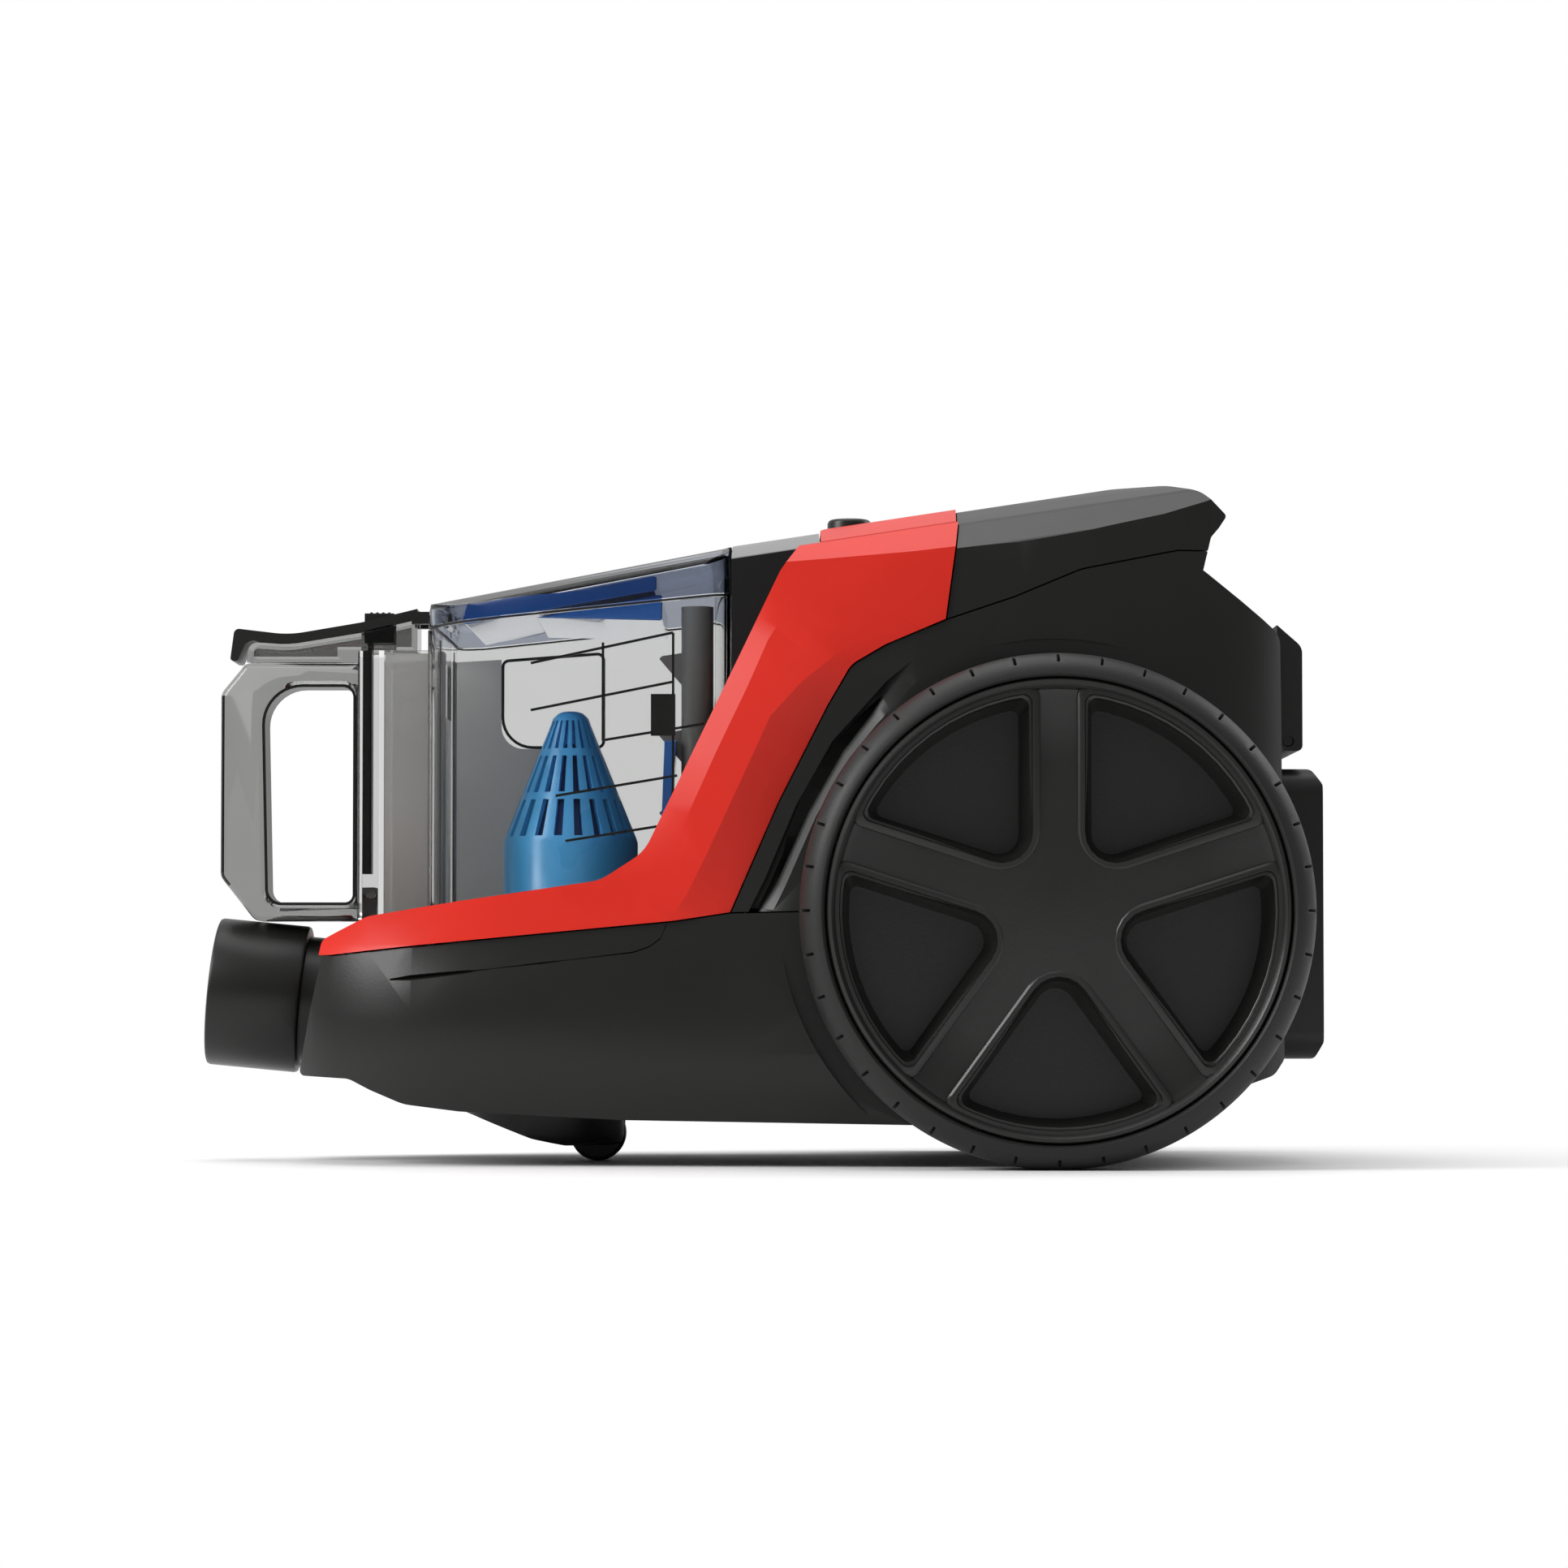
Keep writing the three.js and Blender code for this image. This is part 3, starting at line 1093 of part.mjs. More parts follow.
// ---------------------------------------------------------------- bin lid
const LID_CLEARANCE = 1.2; // over the rim, for the seal
const lidX = chamberX - 1;
const lidRearZ = LID_FRONT_Z + CHAMBER_LENGTH * Math.tan(LID_SLOPE);
const lidSide = [
  [lidX, rimZ(lidX) + LID_CLEARANCE],
  [binRearX - 0.5, rimZ(binRearX) + LID_CLEARANCE],
  [binRearX - 0.5, lidRearZ - 3, 3],
  [binRearX - 3, lidRearZ, 2],
  [lidX + 3, LID_FRONT_Z, 4],
];
const lidPlan = mirroredPlan([
  [chamberX + 0.2, RISER_HALF_WIDTH],
  [chamberX + 0.2, BIN_HALF_WIDTH, 44],
  [binRearX, BIN_HALF_WIDTH, 12],
]);
const lidSection = mirroredSection([[28, 0], [62, -2.5, 8], [BIN_HALF_WIDTH, -6, 5], [BIN_HALF_WIDTH, -90]]);
/** The lid's outer surface, moved inwards by a distance. */
function lidSolid(depth) {
  const crown = frontSlab(inset(lidSection, depth), -DEEP, DEEP).translate([0, 0, LID_FRONT_Z]);
  return meet(
    sideSlab(inset(lidSide, depth), -WIDE, WIDE),
    planSlab(inset(lidPlan, depth), 0, DEEP, 3),
    turnedAboutY(crown, -LID_SLOPE, [chamberX, LID_FRONT_Z]),
  );
}
const lidMouth = [-DEEP, DEEP].map((x) => [x, rimZ(x) + LID_CLEARANCE + 6]);
const lidOpen = meet(
  planSlab(inset(lidPlan, BIN_WALL), 0, DEEP, 3),
  sideSlab([[DEEP, 0], [-DEEP, 0], ...lidMouth], -WIDE, WIDE),
);
const lug = cut(
  rod(3.2, -HINGE_LUG, HINGE_LUG, "y", [hingeAt[0], 0, hingeAt[1]], 20),
  rod(HINGE_PIN_RADIUS + 0.1, -30, 30, "y", [hingeAt[0], 0, hingeAt[1]], 12),
);
// The ears' corners pass this far from the hinge line as the lid turns round them.
const earSweep = EAR_REACH * Math.SQRT2 + RUNNING;
const earSpace = [-1, 1].map((sign) =>
  box(chamberX - 6, hingeAt[0] + earSweep, sign * earAt - EAR_HALF - 0.5, sign * earAt + EAR_HALF + 0.5,
    hingeAt[1] - earSweep, DEEP),
);
const lid = cut(
  join(cut(lidSolid(0), lidSolid(BIN_WALL), lidOpen), lug),
  ...earSpace,
  rod(HINGE_PIN_RADIUS + 0.1, -30, 30, "y", [hingeAt[0], 0, hingeAt[1]], 12),
);
piece("bin_lid", lid, SMOKE);
piece(
  "lid_hinge_pin",
  rod(HINGE_PIN_RADIUS, -HINGE_LUG - 4, HINGE_LUG + 4, "y", [hingeAt[0], 0, hingeAt[1]], 12),
  STEEL,
);
const sealEnds = [chamberX + 1, binRearX];
const sealSide = [
  ...sealEnds.map((x) => [x, rimZ(x) + 0.3]),
  ...sealEnds.map((x) => [x, rimZ(x) + LID_CLEARANCE - 0.3]).reverse(),
];
piece(
  "lid_seal",
  meet(
    cut(planSlab(inset(lidPlan, 0.3), 0, DEEP, 3), planSlab(inset(lidPlan, BIN_WALL - 0.3), 0, DEEP, 3)),
    sideSlab(sealSide, -WIDE, WIDE),
  ),
  RUBBER,
);
piece(
  "lid_insert",
  sideSlab(
    [[chamberX + 12, rimZ(chamberX + 12) + 3, 2], [binRearX - 14, rimZ(binRearX - 14) + 3, 2],
      [binRearX - 14, LID_FRONT_Z + 12, 3], [chamberX + 16, LID_FRONT_Z - 3.5, 2]],
    -40, 40,
  ),
  DARK_BLUE,
);

export default machine;
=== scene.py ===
"""The looks of a bagless canister vacuum cleaner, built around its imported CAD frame."""

import math

import bmesh
import bpy
from mathutils import Matrix, Vector


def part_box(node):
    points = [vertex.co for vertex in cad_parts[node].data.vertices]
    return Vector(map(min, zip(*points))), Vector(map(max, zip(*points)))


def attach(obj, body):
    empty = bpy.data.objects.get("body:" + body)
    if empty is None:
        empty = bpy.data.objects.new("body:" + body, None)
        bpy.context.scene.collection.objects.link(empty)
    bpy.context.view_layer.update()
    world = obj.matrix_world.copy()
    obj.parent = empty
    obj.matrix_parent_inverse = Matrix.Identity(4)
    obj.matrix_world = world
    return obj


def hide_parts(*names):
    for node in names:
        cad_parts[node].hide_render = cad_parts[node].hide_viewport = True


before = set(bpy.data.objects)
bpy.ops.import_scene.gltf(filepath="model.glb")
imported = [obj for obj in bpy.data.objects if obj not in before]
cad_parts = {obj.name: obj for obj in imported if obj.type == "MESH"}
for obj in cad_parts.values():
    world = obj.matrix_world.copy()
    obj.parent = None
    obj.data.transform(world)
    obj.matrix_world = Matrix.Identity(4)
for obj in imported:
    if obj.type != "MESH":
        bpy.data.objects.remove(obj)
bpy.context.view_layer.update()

# ---- camera, floor and light
AIM = Vector((0.010, 0.0, 0.1398))
CAMERA_AT = Vector((0.0049, -2.0, 0.054))

camera_data = bpy.data.cameras.new("camera")
camera_data.lens = 123.4
camera_data.sensor_width = 36.0
camera = bpy.data.objects.new("camera", camera_data)
camera.location = CAMERA_AT
camera.rotation_euler = (AIM - CAMERA_AT).to_track_quat("-Z", "Y").to_euler()
bpy.context.collection.objects.link(camera)
bpy.context.scene.camera = camera
bpy.context.scene.view_settings.view_transform = "Standard"


def node_tree(owner):
    owner.use_nodes = True
    owner.node_tree.nodes.clear()
    return owner.node_tree


def add_node(tree, kind, values=None, **settings):
    """Adds a node, with settings as attributes and values as the defaults of its named inputs."""
    made = tree.nodes.new(kind)
    for name, value in settings.items():
        setattr(made, name, value)
    for name, value in (values or {}).items():
        made.inputs[name].default_value = value
    return made


def mapped(tree, source, ends):
    """A value stretched from one range onto another."""
    stretch = add_node(tree, "ShaderNodeMapRange", ends)
    tree.links.new(source, stretch.inputs["Value"])
    return stretch.outputs["Result"]


def make_world():
    """A sky bright above and behind the machine, dimmer at the camera's side, and plain white to the eye."""
    world = bpy.data.worlds.new("studio")
    bpy.context.scene.world = world
    tree = node_tree(world)
    link = tree.links.new
    place = add_node(tree, "ShaderNodeTexCoord")
    split = add_node(tree, "ShaderNodeSeparateXYZ")
    link(place.outputs["Generated"], split.inputs[0])
    most = add_node(tree, "ShaderNodeMath", operation="MAXIMUM")
    link(mapped(tree, split.outputs["Z"], {"From Min": -0.1, "From Max": 0.9}), most.inputs[0])
    link(mapped(tree, split.outputs["Y"], {"From Min": -0.2, "From Max": 0.6}), most.inputs[1])
    seen = add_node(tree, "ShaderNodeLightPath")
    strength = add_node(tree, "ShaderNodeMix", data_type="FLOAT")
    link(seen.outputs["Is Camera Ray"], strength.inputs["Factor"])
    link(mapped(tree, most.outputs[0], {"To Min": 0.05, "To Max": 0.75}), strength.inputs["A"])
    strength.inputs["B"].default_value = 1.0
    background = add_node(tree, "ShaderNodeBackground", {"Color": (1.0, 1.0, 1.0, 1.0)})
    link(strength.outputs["Result"], background.inputs["Strength"])
    output = add_node(tree, "ShaderNodeOutputWorld")
    link(background.outputs[0], output.inputs[0])


def area_light(name, at, towards, size, power):
    data = bpy.data.lights.new(name, "AREA")
    data.size = size
    data.energy = power
    lamp = bpy.data.objects.new(name, data)
    lamp.location = at
    lamp.rotation_euler = (Vector(towards) - Vector(at)).to_track_quat("-Z", "Y").to_euler()
    bpy.context.collection.objects.link(lamp)


make_world()
area_light("overhead", (-0.1, 0.1, 1.5), (0.0, 0.0, 0.1), 1.2, 8)
area_light("front_left", (-1.7, -0.75, 1.15), (-0.02, 0.0, 0.12), 1.0, 34)
area_light("rear_right", (1.4, 0.6, 1.1), (0.0, 0.0, 0.12), 0.7, 6)


# ---- materials
WEAR = 0.12  # share by which the roughness drifts


def shade(name, color, roughness, grain=0.0, grain_scale=900.0, variation=0.06, **sockets):
    """A moulded or coated surface: colour and roughness drift over it, and a fine grain bumps it."""
    material = bpy.data.materials.new(name)
    tree = node_tree(material)
    link = tree.links.new
    output = add_node(tree, "ShaderNodeOutputMaterial")
    surface = add_node(tree, "ShaderNodeBsdfPrincipled")
    link(surface.outputs[0], output.inputs[0])
    place = add_node(tree, "ShaderNodeTexCoord")
    drift = add_node(tree, "ShaderNodeTexNoise", {"Scale": 18.0, "Detail": 3.0, "Roughness": 0.6})
    link(place.outputs["Object"], drift.inputs["Vector"])
    ramp = add_node(tree, "ShaderNodeValToRGB")
    ramp.color_ramp.elements[0].position = 0.3
    ramp.color_ramp.elements[1].position = 0.7
    ramp.color_ramp.elements[0].color = (*[c * (1 - variation) for c in color], 1.0)
    ramp.color_ramp.elements[1].color = (*[min(c * (1 + variation), 1.0) for c in color], 1.0)
    link(drift.outputs["Fac"], ramp.inputs["Fac"])
    link(ramp.outputs["Color"], surface.inputs["Base Color"])
    worn = {"To Min": roughness * (1 - WEAR), "To Max": min(roughness * (1 + WEAR), 1.0)}
    link(mapped(tree, drift.outputs["Fac"], worn), surface.inputs["Roughness"])
    if grain:
        speck = add_node(tree, "ShaderNodeTexNoise", {"Scale": grain_scale, "Detail": 2.0})
        link(place.outputs["Object"], speck.inputs["Vector"])
        bump = add_node(tree, "ShaderNodeBump", {"Strength": grain, "Distance": 0.0002})
        link(speck.outputs["Fac"], bump.inputs["Height"])
        link(bump.outputs[0], surface.inputs["Normal"])
    for socket, value in sockets.items():
        surface.inputs[socket.replace("_", " ")].default_value = value
    return material


BLACK = shade("black_abs", (0.0062, 0.0065, 0.0056), 0.36, grain=0.12, Specular_IOR_Level=0.35)
WHEEL = shade("wheel_abs", (0.0085, 0.0088, 0.0078), 0.34, grain=0.15, Specular_IOR_Level=0.45)
GLOSS = shade("gloss_black", (0.006, 0.006, 0.0065), 0.06, Coat_Weight=0.5)
RED = shade("red_abs", (0.62, 0.022, 0.012), 0.36, grain=0.03, grain_scale=300, Specular_IOR_Level=0.22)
RUBBER = shade("rubber", (0.0085, 0.0085, 0.008), 0.5, grain=0.3, Specular_IOR_Level=0.4)
BLUE = shade("blue_abs", (0.10, 0.50, 0.98), 0.28, grain=0.05)
# Painted shade: a dark blue for the cone's inside, which looks dark through the slots only because it lies in shade.
CONE_INSIDE_SHADE = shade("cone_inside_painted_shade", (0.008, 0.045, 0.16), 0.5, grain=0.5, grain_scale=1400.0)
DEEP_BLUE = shade("deep_blue", (0.04, 0.18, 0.60), 0.15, Coat_Weight=0.5)
GREY = shade("grey_abs", (0.17, 0.17, 0.165), 0.4, grain=0.15)
MIST = shade("mist_panel", (0.60, 0.59, 0.565), 0.4, variation=0.05, grain=0.05, Alpha=0.66)
STEEL = shade("steel", (0.55, 0.56, 0.58), 0.3, grain=0.05, Metallic=1.0)
ALUMINIUM = shade("aluminium", (0.75, 0.76, 0.78), 0.35, grain=0.1, Metallic=1.0)
COPPER = shade("copper", (0.7, 0.3, 0.14), 0.4, grain=0.4, grain_scale=400, Metallic=1.0)
FOAM = shade("foam", (0.03, 0.032, 0.04), 0.95, grain=1.0, grain_scale=500)
PAPER = shade("paper", (0.72, 0.71, 0.66), 0.85, grain=0.4, grain_scale=250)
BOARD = shade("board", (0.02, 0.15, 0.06), 0.35, grain=0.2)
CLEAR = shade("clear_pc", (0.88, 0.885, 0.88), 0.03, variation=0.01, Transmission_Weight=1.0, IOR=1.2)
SMOKE = shade("smoke_pc", (0.36, 0.36, 0.355), 0.06, variation=0.03, Transmission_Weight=1.0, IOR=1.35)
LID = shade("lid_pc", (0.42, 0.45, 0.52), 0.05, variation=0.02, Transmission_Weight=1.0, IOR=1.3)
FLOOR = shade("floor_paint", (0.93, 0.93, 0.93), 0.6, variation=0.005)


def fade_to_white(material, start, end):
    """Turns a floor into plain white light away from the middle, so that no horizon shows."""
    tree = material.node_tree
    output = next(node for node in tree.nodes if node.type == "OUTPUT_MATERIAL")
    surface = next(node for node in tree.nodes if node.type == "BSDF_PRINCIPLED")
    place = add_node(tree, "ShaderNodeTexCoord")
    length = add_node(tree, "ShaderNodeVectorMath", operation="LENGTH")
    tree.links.new(place.outputs["Object"], length.inputs[0])
    spread = mapped(tree, length.outputs["Value"], {"From Min": start, "From Max": end})
    white = add_node(tree, "ShaderNodeEmission", {"Color": (1.0, 1.0, 1.0, 1.0), "Strength": 1.0})
    mix = add_node(tree, "ShaderNodeMixShader")
    tree.links.new(spread, mix.inputs[0])
    tree.links.new(surface.outputs[0], mix.inputs[1])
    tree.links.new(white.outputs[0], mix.inputs[2])
    tree.links.new(mix.outputs[0], output.inputs[0])


fade_to_white(FLOOR, 0.24, 0.42)

# ---- solids, in millimetres
MM = 0.001
DEEP = 400.0
WIDE = 200.0
scratch = bpy.data.collections.new("scratch")
bpy.context.scene.collection.children.link(scratch)


def rounded(corners, steps=8):
    """Corners (x, y, radius) as points, each radius drawn as an arc that fits between the corner's neighbours."""
    points = []
    count = len(corners)
    for i, corner in enumerate(corners):
        here = Vector(corner[:2])
        radius = corner[2] if len(corner) > 2 else 0.0
        if not radius:
            points.append(here)
            continue
        before = Vector(corners[i - 1][:2]) - here
        after = Vector(corners[(i + 1) % count][:2]) - here
        half = before.angle(after) / 2
        reach = min(radius / math.tan(half), 0.48 * before.length, 0.48 * after.length)
        true_radius = reach * math.tan(half)
        before.normalize()
        after.normalize()
        centre = here + (before + after).normalized() * (true_radius / math.sin(half))
        start = here + before * reach - centre
        end = here + after * reach - centre
        turn = start.angle_signed(end)
        for step in range(steps + 1):
            arm = start.copy()
            arm.rotate(Matrix.Rotation(-turn * step / steps, 2))
            points.append(centre + arm)
    return points


def inset(corners, distance):
    """An outline moved inwards by a distance, keeping each corner's radius concentric."""
    count = len(corners)
    area = sum(
        corners[i][0] * corners[(i + 1) % count][1] - corners[(i + 1) % count][0] * corners[i][1]
        for i in range(count)
    )
    side = 1 if area > 0 else -1
    moved = []
    for i, corner in enumerate(corners):
        here = Vector(corner[:2])
        a = (here - Vector(corners[i - 1][:2])).normalized()
        b = (Vector(corners[(i + 1) % count][:2]) - here).normalized()
        normal_a = Vector((-a.y, a.x)) * side
        normal_b = Vector((-b.y, b.x)) * side
        mitre = (normal_a + normal_b) / (1 + normal_a.dot(normal_b))
        radius = corner[2] if len(corner) > 2 else 0.0
        moved.append((*(here + mitre * distance), max(radius - distance, 0.0) if radius else 0.0))
    return moved


def solid(points, faces):
    """A closed mesh object, with its faces turned outwards."""
    mesh = bpy.data.meshes.new("solid")
    mesh.from_pydata([tuple(p) for p in points], [], faces)
    work = bmesh.new()
    work.from_mesh(mesh)
    bmesh.ops.remove_doubles(work, verts=work.verts, dist=1e-4)
    bmesh.ops.recalc_face_normals(work, faces=work.faces)
    if work.calc_volume(signed=True) < 0:
        bmesh.ops.reverse_faces(work, faces=work.faces)
    work.to_mesh(mesh)
    work.free()
    made = bpy.data.objects.new("solid", mesh)
    scratch.objects.link(made)
    return made


def loft(rings):
    """Rings of equally many points, skinned in order, with flat ends."""
    count = len(rings[0])
    faces = []
    for r in range(len(rings) - 1):
        for i in range(count):
            j = (i + 1) % count
            faces.append((r * count + i, r * count + j, (r + 1) * count + j, (r + 1) * count + i))
    faces.append(tuple(range(count)))
    last = (len(rings) - 1) * count
    faces.append(tuple(last + i for i in range(count)))
    return solid([p for ring in rings for p in ring], faces)


def side_slab(corners, y0=-WIDE, y1=WIDE, steps=8):
    """An outline (x, z) carried along Y."""
    outline = rounded(corners, steps)
    return loft([[(p.x, y, p.y) for p in outline] for y in (y0, y1)])


def plan_slab(corners, z0, z1, steps=8):
    """An outline (x, y) carried along Z."""
    outline = rounded(corners, steps)
    return loft([[(p.x, p.y, z) for p in outline] for z in (z0, z1)])


def front_slab(corners, x0, x1, steps=8):
    """An outline (y, z) carried along X."""
    outline = rounded(corners, steps)
    return loft([[(x, p.x, p.y) for p in outline] for x in (x0, x1)])


def box(x0, x1, y0, y1, z0, z1):
    return plan_slab([(x0, y0), (x1, y0), (x1, y1), (x0, y1)], z0, z1)


def lathe(profile, axis, at, segments=96):
    """A closed half profile (radius, height) turned about an axis through a point."""
    rings = []
    for step in range(segments):
        angle = 2 * math.pi * step / segments
        ring = []
        for radius, height in profile:
            a, b = radius * math.cos(angle), radius * math.sin(angle)
            local = {"x": (height, a, b), "y": (b, height, a), "z": (a, b, height)}[axis]
            ring.append(Vector(local) + Vector(at))
        rings.append(ring)
    count = len(profile)
    faces = []
    for s in range(segments):
        t = (s + 1) % segments
        for i in range(count):
            j = (i + 1) % count
            if profile[i][0] or profile[j][0]:
                faces.append((s * count + i, s * count + j, t * count + j, t * count + i))
    return solid([p for ring in rings for p in ring], faces)


def rod(radius, low, high, axis, at, segments=96):
    return lathe([(0, low), (radius, low), (radius, high), (0, high)], axis, at, segments)


def copy_of(made):
    twin = made.copy()
    twin.data = made.data.copy()
    scratch.objects.link(twin)
    return twin


def combine(first, others, how):
    """Applies each other solid to the first one, and uses it up."""
    for other in others:
        step = first.modifiers.new("step", "BOOLEAN")
        step.operation = how
        step.solver = "MANIFOLD"
        step.object = other
        graph = bpy.context.evaluated_depsgraph_get()
        mesh = bpy.data.meshes.new_from_object(first.evaluated_get(graph))
        first.modifiers.clear()
        first.data = mesh
        bpy.data.objects.remove(other)
    return first


def cut(first, *others):
    return combine(first, others, "DIFFERENCE")


def meet(first, *others):
    return combine(first, others, "INTERSECT")


def join(first, *others):
    return combine(first, others, "UNION")


def moved(made, matrix):
    made.data.transform(matrix)
    return made


def turned(made, angle, x, z):
    """Turned about an axis along Y through (x, z)."""
    about = Vector((x, 0, z))
    return moved(made, Matrix.Translation(about) @ Matrix.Rotation(angle, 4, "Y") @ Matrix.Translation(-about))


def plan_pair(half):
    """A whole plan outline (x, y) from its half at positive Y."""
    return half + [(c[0], -c[1], *c[2:]) for c in reversed(half)]


def section_pair(half):
    """A whole cross-section outline (y, z) from its half at positive Y."""
    return half + [(-c[0], c[1], *c[2:]) for c in reversed(half)]


def round_edges(made, width, angle):
    edge = made.modifiers.new("edges", "BEVEL")
    edge.width = width * MM
    edge.segments = 2
    edge.limit_method = "ANGLE"
    edge.angle_limit = math.radians(angle)
    return edge


def piece(name, made, material, body, stands_for=(), bevel=0.6, angle=28):
    """Finishes a solid as a visible piece: metres, rounded edges, smooth shading, material and body."""
    made.name = name
    made.data.name = name
    made.data.transform(Matrix.Scale(MM, 4))
    work = bmesh.new()
    work.from_mesh(made.data)
    bmesh.ops.remove_doubles(work, verts=work.verts, dist=2e-6)
    bmesh.ops.dissolve_limit(work, angle_limit=math.radians(0.6), verts=work.verts, edges=work.edges)
    work.to_mesh(made.data)
    work.free()
    made.data.materials.clear()
    made.data.materials.append(material)
    scratch.objects.unlink(made)
    bpy.context.scene.collection.objects.link(made)
    made.data.polygons.foreach_set("use_smooth", [True] * len(made.data.polygons))
    if bevel:
        round_edges(made, bevel, angle).harden_normals = True
    else:
        made.data.set_sharp_from_angle(angle=math.radians(angle))
    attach(made, body)
    if stands_for:
        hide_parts(*stands_for)


# ---- stations, from the frame
def span(node):
    """Lowest and highest corner of a CAD node, in millimetres."""
    low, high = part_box(node)
    return [v / MM for v in low], [v / MM for v in high]


chassis_low, chassis_high = span("chassis")
bin_low, bin_high = span("bin_shell")
tyre_low, tyre_high = span("tyre_right")
rest_low, rest_high = span("rear_rest")
pod_low, pod_high = span("caster_pod")
roller_low, roller_high = span("caster_wheel")
cone_low, cone_high = span("cyclone_cone")
button_low, button_high = span("power_button")
door_low, door_high = span("exhaust_door")

nose_x = chassis_low[0]
rear_x = chassis_high[0]
rest_x = rest_high[0]
bin_x = bin_low[0]
bin_rear_x = bin_high[0]
bin_half = bin_high[1]
chamber_x = bin_x + 28.0
bay_x = bin_rear_x + 2.2
axle_x = (tyre_low[0] + tyre_high[0]) / 2
wheel_radius = (tyre_high[2] - tyre_low[2]) / 2
wheel_face = tyre_high[1]
wheel_inner = span("wheel_disc_right")[0][1]
cover_x = bay_x + 82.5
lip_x = cover_x + 92.7
deck_x = bay_x + 30.0
top_z = span("handle_cover")[1][2]
bay_floor = bin_low[2] - 2.2
cone_x = (cone_low[0] + cone_high[0]) / 2
caster_x = (pod_low[0] + pod_high[0]) / 2
roller_x = (roller_low[0] + roller_high[0]) / 2

WALL = 2.6
BIN_WALL = 2.2
BIN_GAP = 2.2
SEAM = 0.55  # parting gap between visible pieces
POCKET_Y = wheel_inner - 4.5
POCKET_RADIUS = wheel_radius + 7.0
DECK_SLOPE = math.radians(8.6)
LID_SLOPE = math.radians(10.8)
RIM_SLOPE = math.radians(6.0)
DECK_Z = 230.6
RIM_Z = 193.0
LID_Z = 204.0
DECK_HALF = 80.0
NOSE_TRIM = 38.0
RISER_HALF = 24.0

# ---- body envelope
BODY_SIDE = [
    (nose_x - 0.6, 32, 2),
    (nose_x + 19, 31, 8),
    (nose_x + 27, 27, 8),
    (nose_x + 39, 22, 20),
    (nose_x + 59, 19.5, 20),
    (nose_x + 119, 16.5),
    (axle_x - 50, 15),
    (axle_x + 30, 19, 40),
    (rear_x - 13, 29.5, 10),
    (rear_x - 4, 32.5, 6),
    (rear_x, 38, 4),
    (rear_x, 190, 7),
    (lip_x - 9, 212),
    (lip_x - 6, 224, 3),
    (lip_x - 3, 227.5),
    (lip_x, 232, 1.5),
    (lip_x - 9, 241, 9),
    (lip_x - 20, top_z, 14),
    (lip_x - 46, top_z - 0.5, 40),
    (deck_x, DECK_Z, 60),
    (bay_x + 16.7, 211.5, 5),
    (bay_x - 31.8, 111, 16),
    (bay_x - 48, 100.5, 14),
    (chamber_x + 12, 93),
    (chamber_x - 20, 88, 14),
    (nose_x + 15.5, 83, 4),
    (nose_x + 9.4, 80, 3),
]
PLAN_HALF = [
    (nose_x - 3, 44), (nose_x + 1, 51), (nose_x + 6, 58), (nose_x + 14, 66), (nose_x + 26, 74.5),
    (nose_x + 42, 82), (nose_x + 62, 87.5), (nose_x + 90, 91.5), (nose_x + 122, 95), (nose_x + 158, 99.5),
    (nose_x + 190, 104), (nose_x + 222, 108), (axle_x - 10, 110.5), (axle_x + 15, 110.5), (axle_x + 40, 108.5),
    (axle_x + 56, 105), (axle_x + 68, 99), (axle_x + 76, 93), (rear_x - 2, 87), (rear_x + 3, 80),
]
# Height, lean of the flank inwards, and the share of the crease's bulge at that height.
LEVELS = [
    (0, 14, 0), (16, 7, 0), (24, 3, 0.1), (32, 0.8, 0.35), (40, 0, 0.65), (55, 0, 1), (79, 2.2, 0), (90, 3, 0),
    (130, 5, 0), (170, 8, 0), (205, 12, 0), (260, 19, 0),
]
CREASE_BULGE = 5.0
CREASE_FROM, CREASE_TO = chamber_x + 6, bay_x - 14


def bulge(x):
    """How far the crease stands out: full over the front, gone before the wheel."""
    return CREASE_BULGE * min(max((CREASE_TO - x) / (CREASE_TO - CREASE_FROM), 0.0), 1.0)


def flank(x, z):
    """Half the body's width at a place on its flank."""
    for (z0, lean0, share0), (z1, lean1, share1) in zip(LEVELS, LEVELS[1:]):
        if z <= z1:
            part = (z - z0) / (z1 - z0)
            return half_width(x) - lean0 - (lean1 - lean0) * part + bulge(x) * (share0 + (share1 - share0) * part)
    return half_width(x) - LEVELS[-1][1]


def half_width(x):
    """Half the body's width at its widest level."""
    for (x0, w0), (x1, w1) in zip(PLAN_HALF, PLAN_HALF[1:]):
        if x <= x1:
            return w0 + (w1 - w0) * max((x - x0) / (x1 - x0), 0.0)
    return PLAN_HALF[-1][1]


def hull(depth):
    """The body's side surfaces: its width over length and height."""
    rings = []
    for x, half in PLAN_HALF:
        side = [(half - lean + share_out * bulge(x) - depth, z) for z, lean, share_out in LEVELS]
        ring = [(x, y, z) for y, z in side] + [(x, -y, z) for y, z in reversed(side)]
        rings.append(ring)
    return loft(rings)


CROWN = [(30, 0), (52, -1.8, 30), (80, -8.5, 14), (96.5, -19, 4), (104, -60, 30), (122, -260)]


def crown(depth, profile=CROWN, x=deck_x, z=DECK_Z, slope=DECK_SLOPE):
    """Everything under a sloping crowned top that passes through (x, z)."""
    slab = front_slab(inset(section_pair(profile), depth), -DEEP, DEEP)
    moved(slab, Matrix.Translation((0, 0, z)))
    return turned(slab, -slope, x, z)


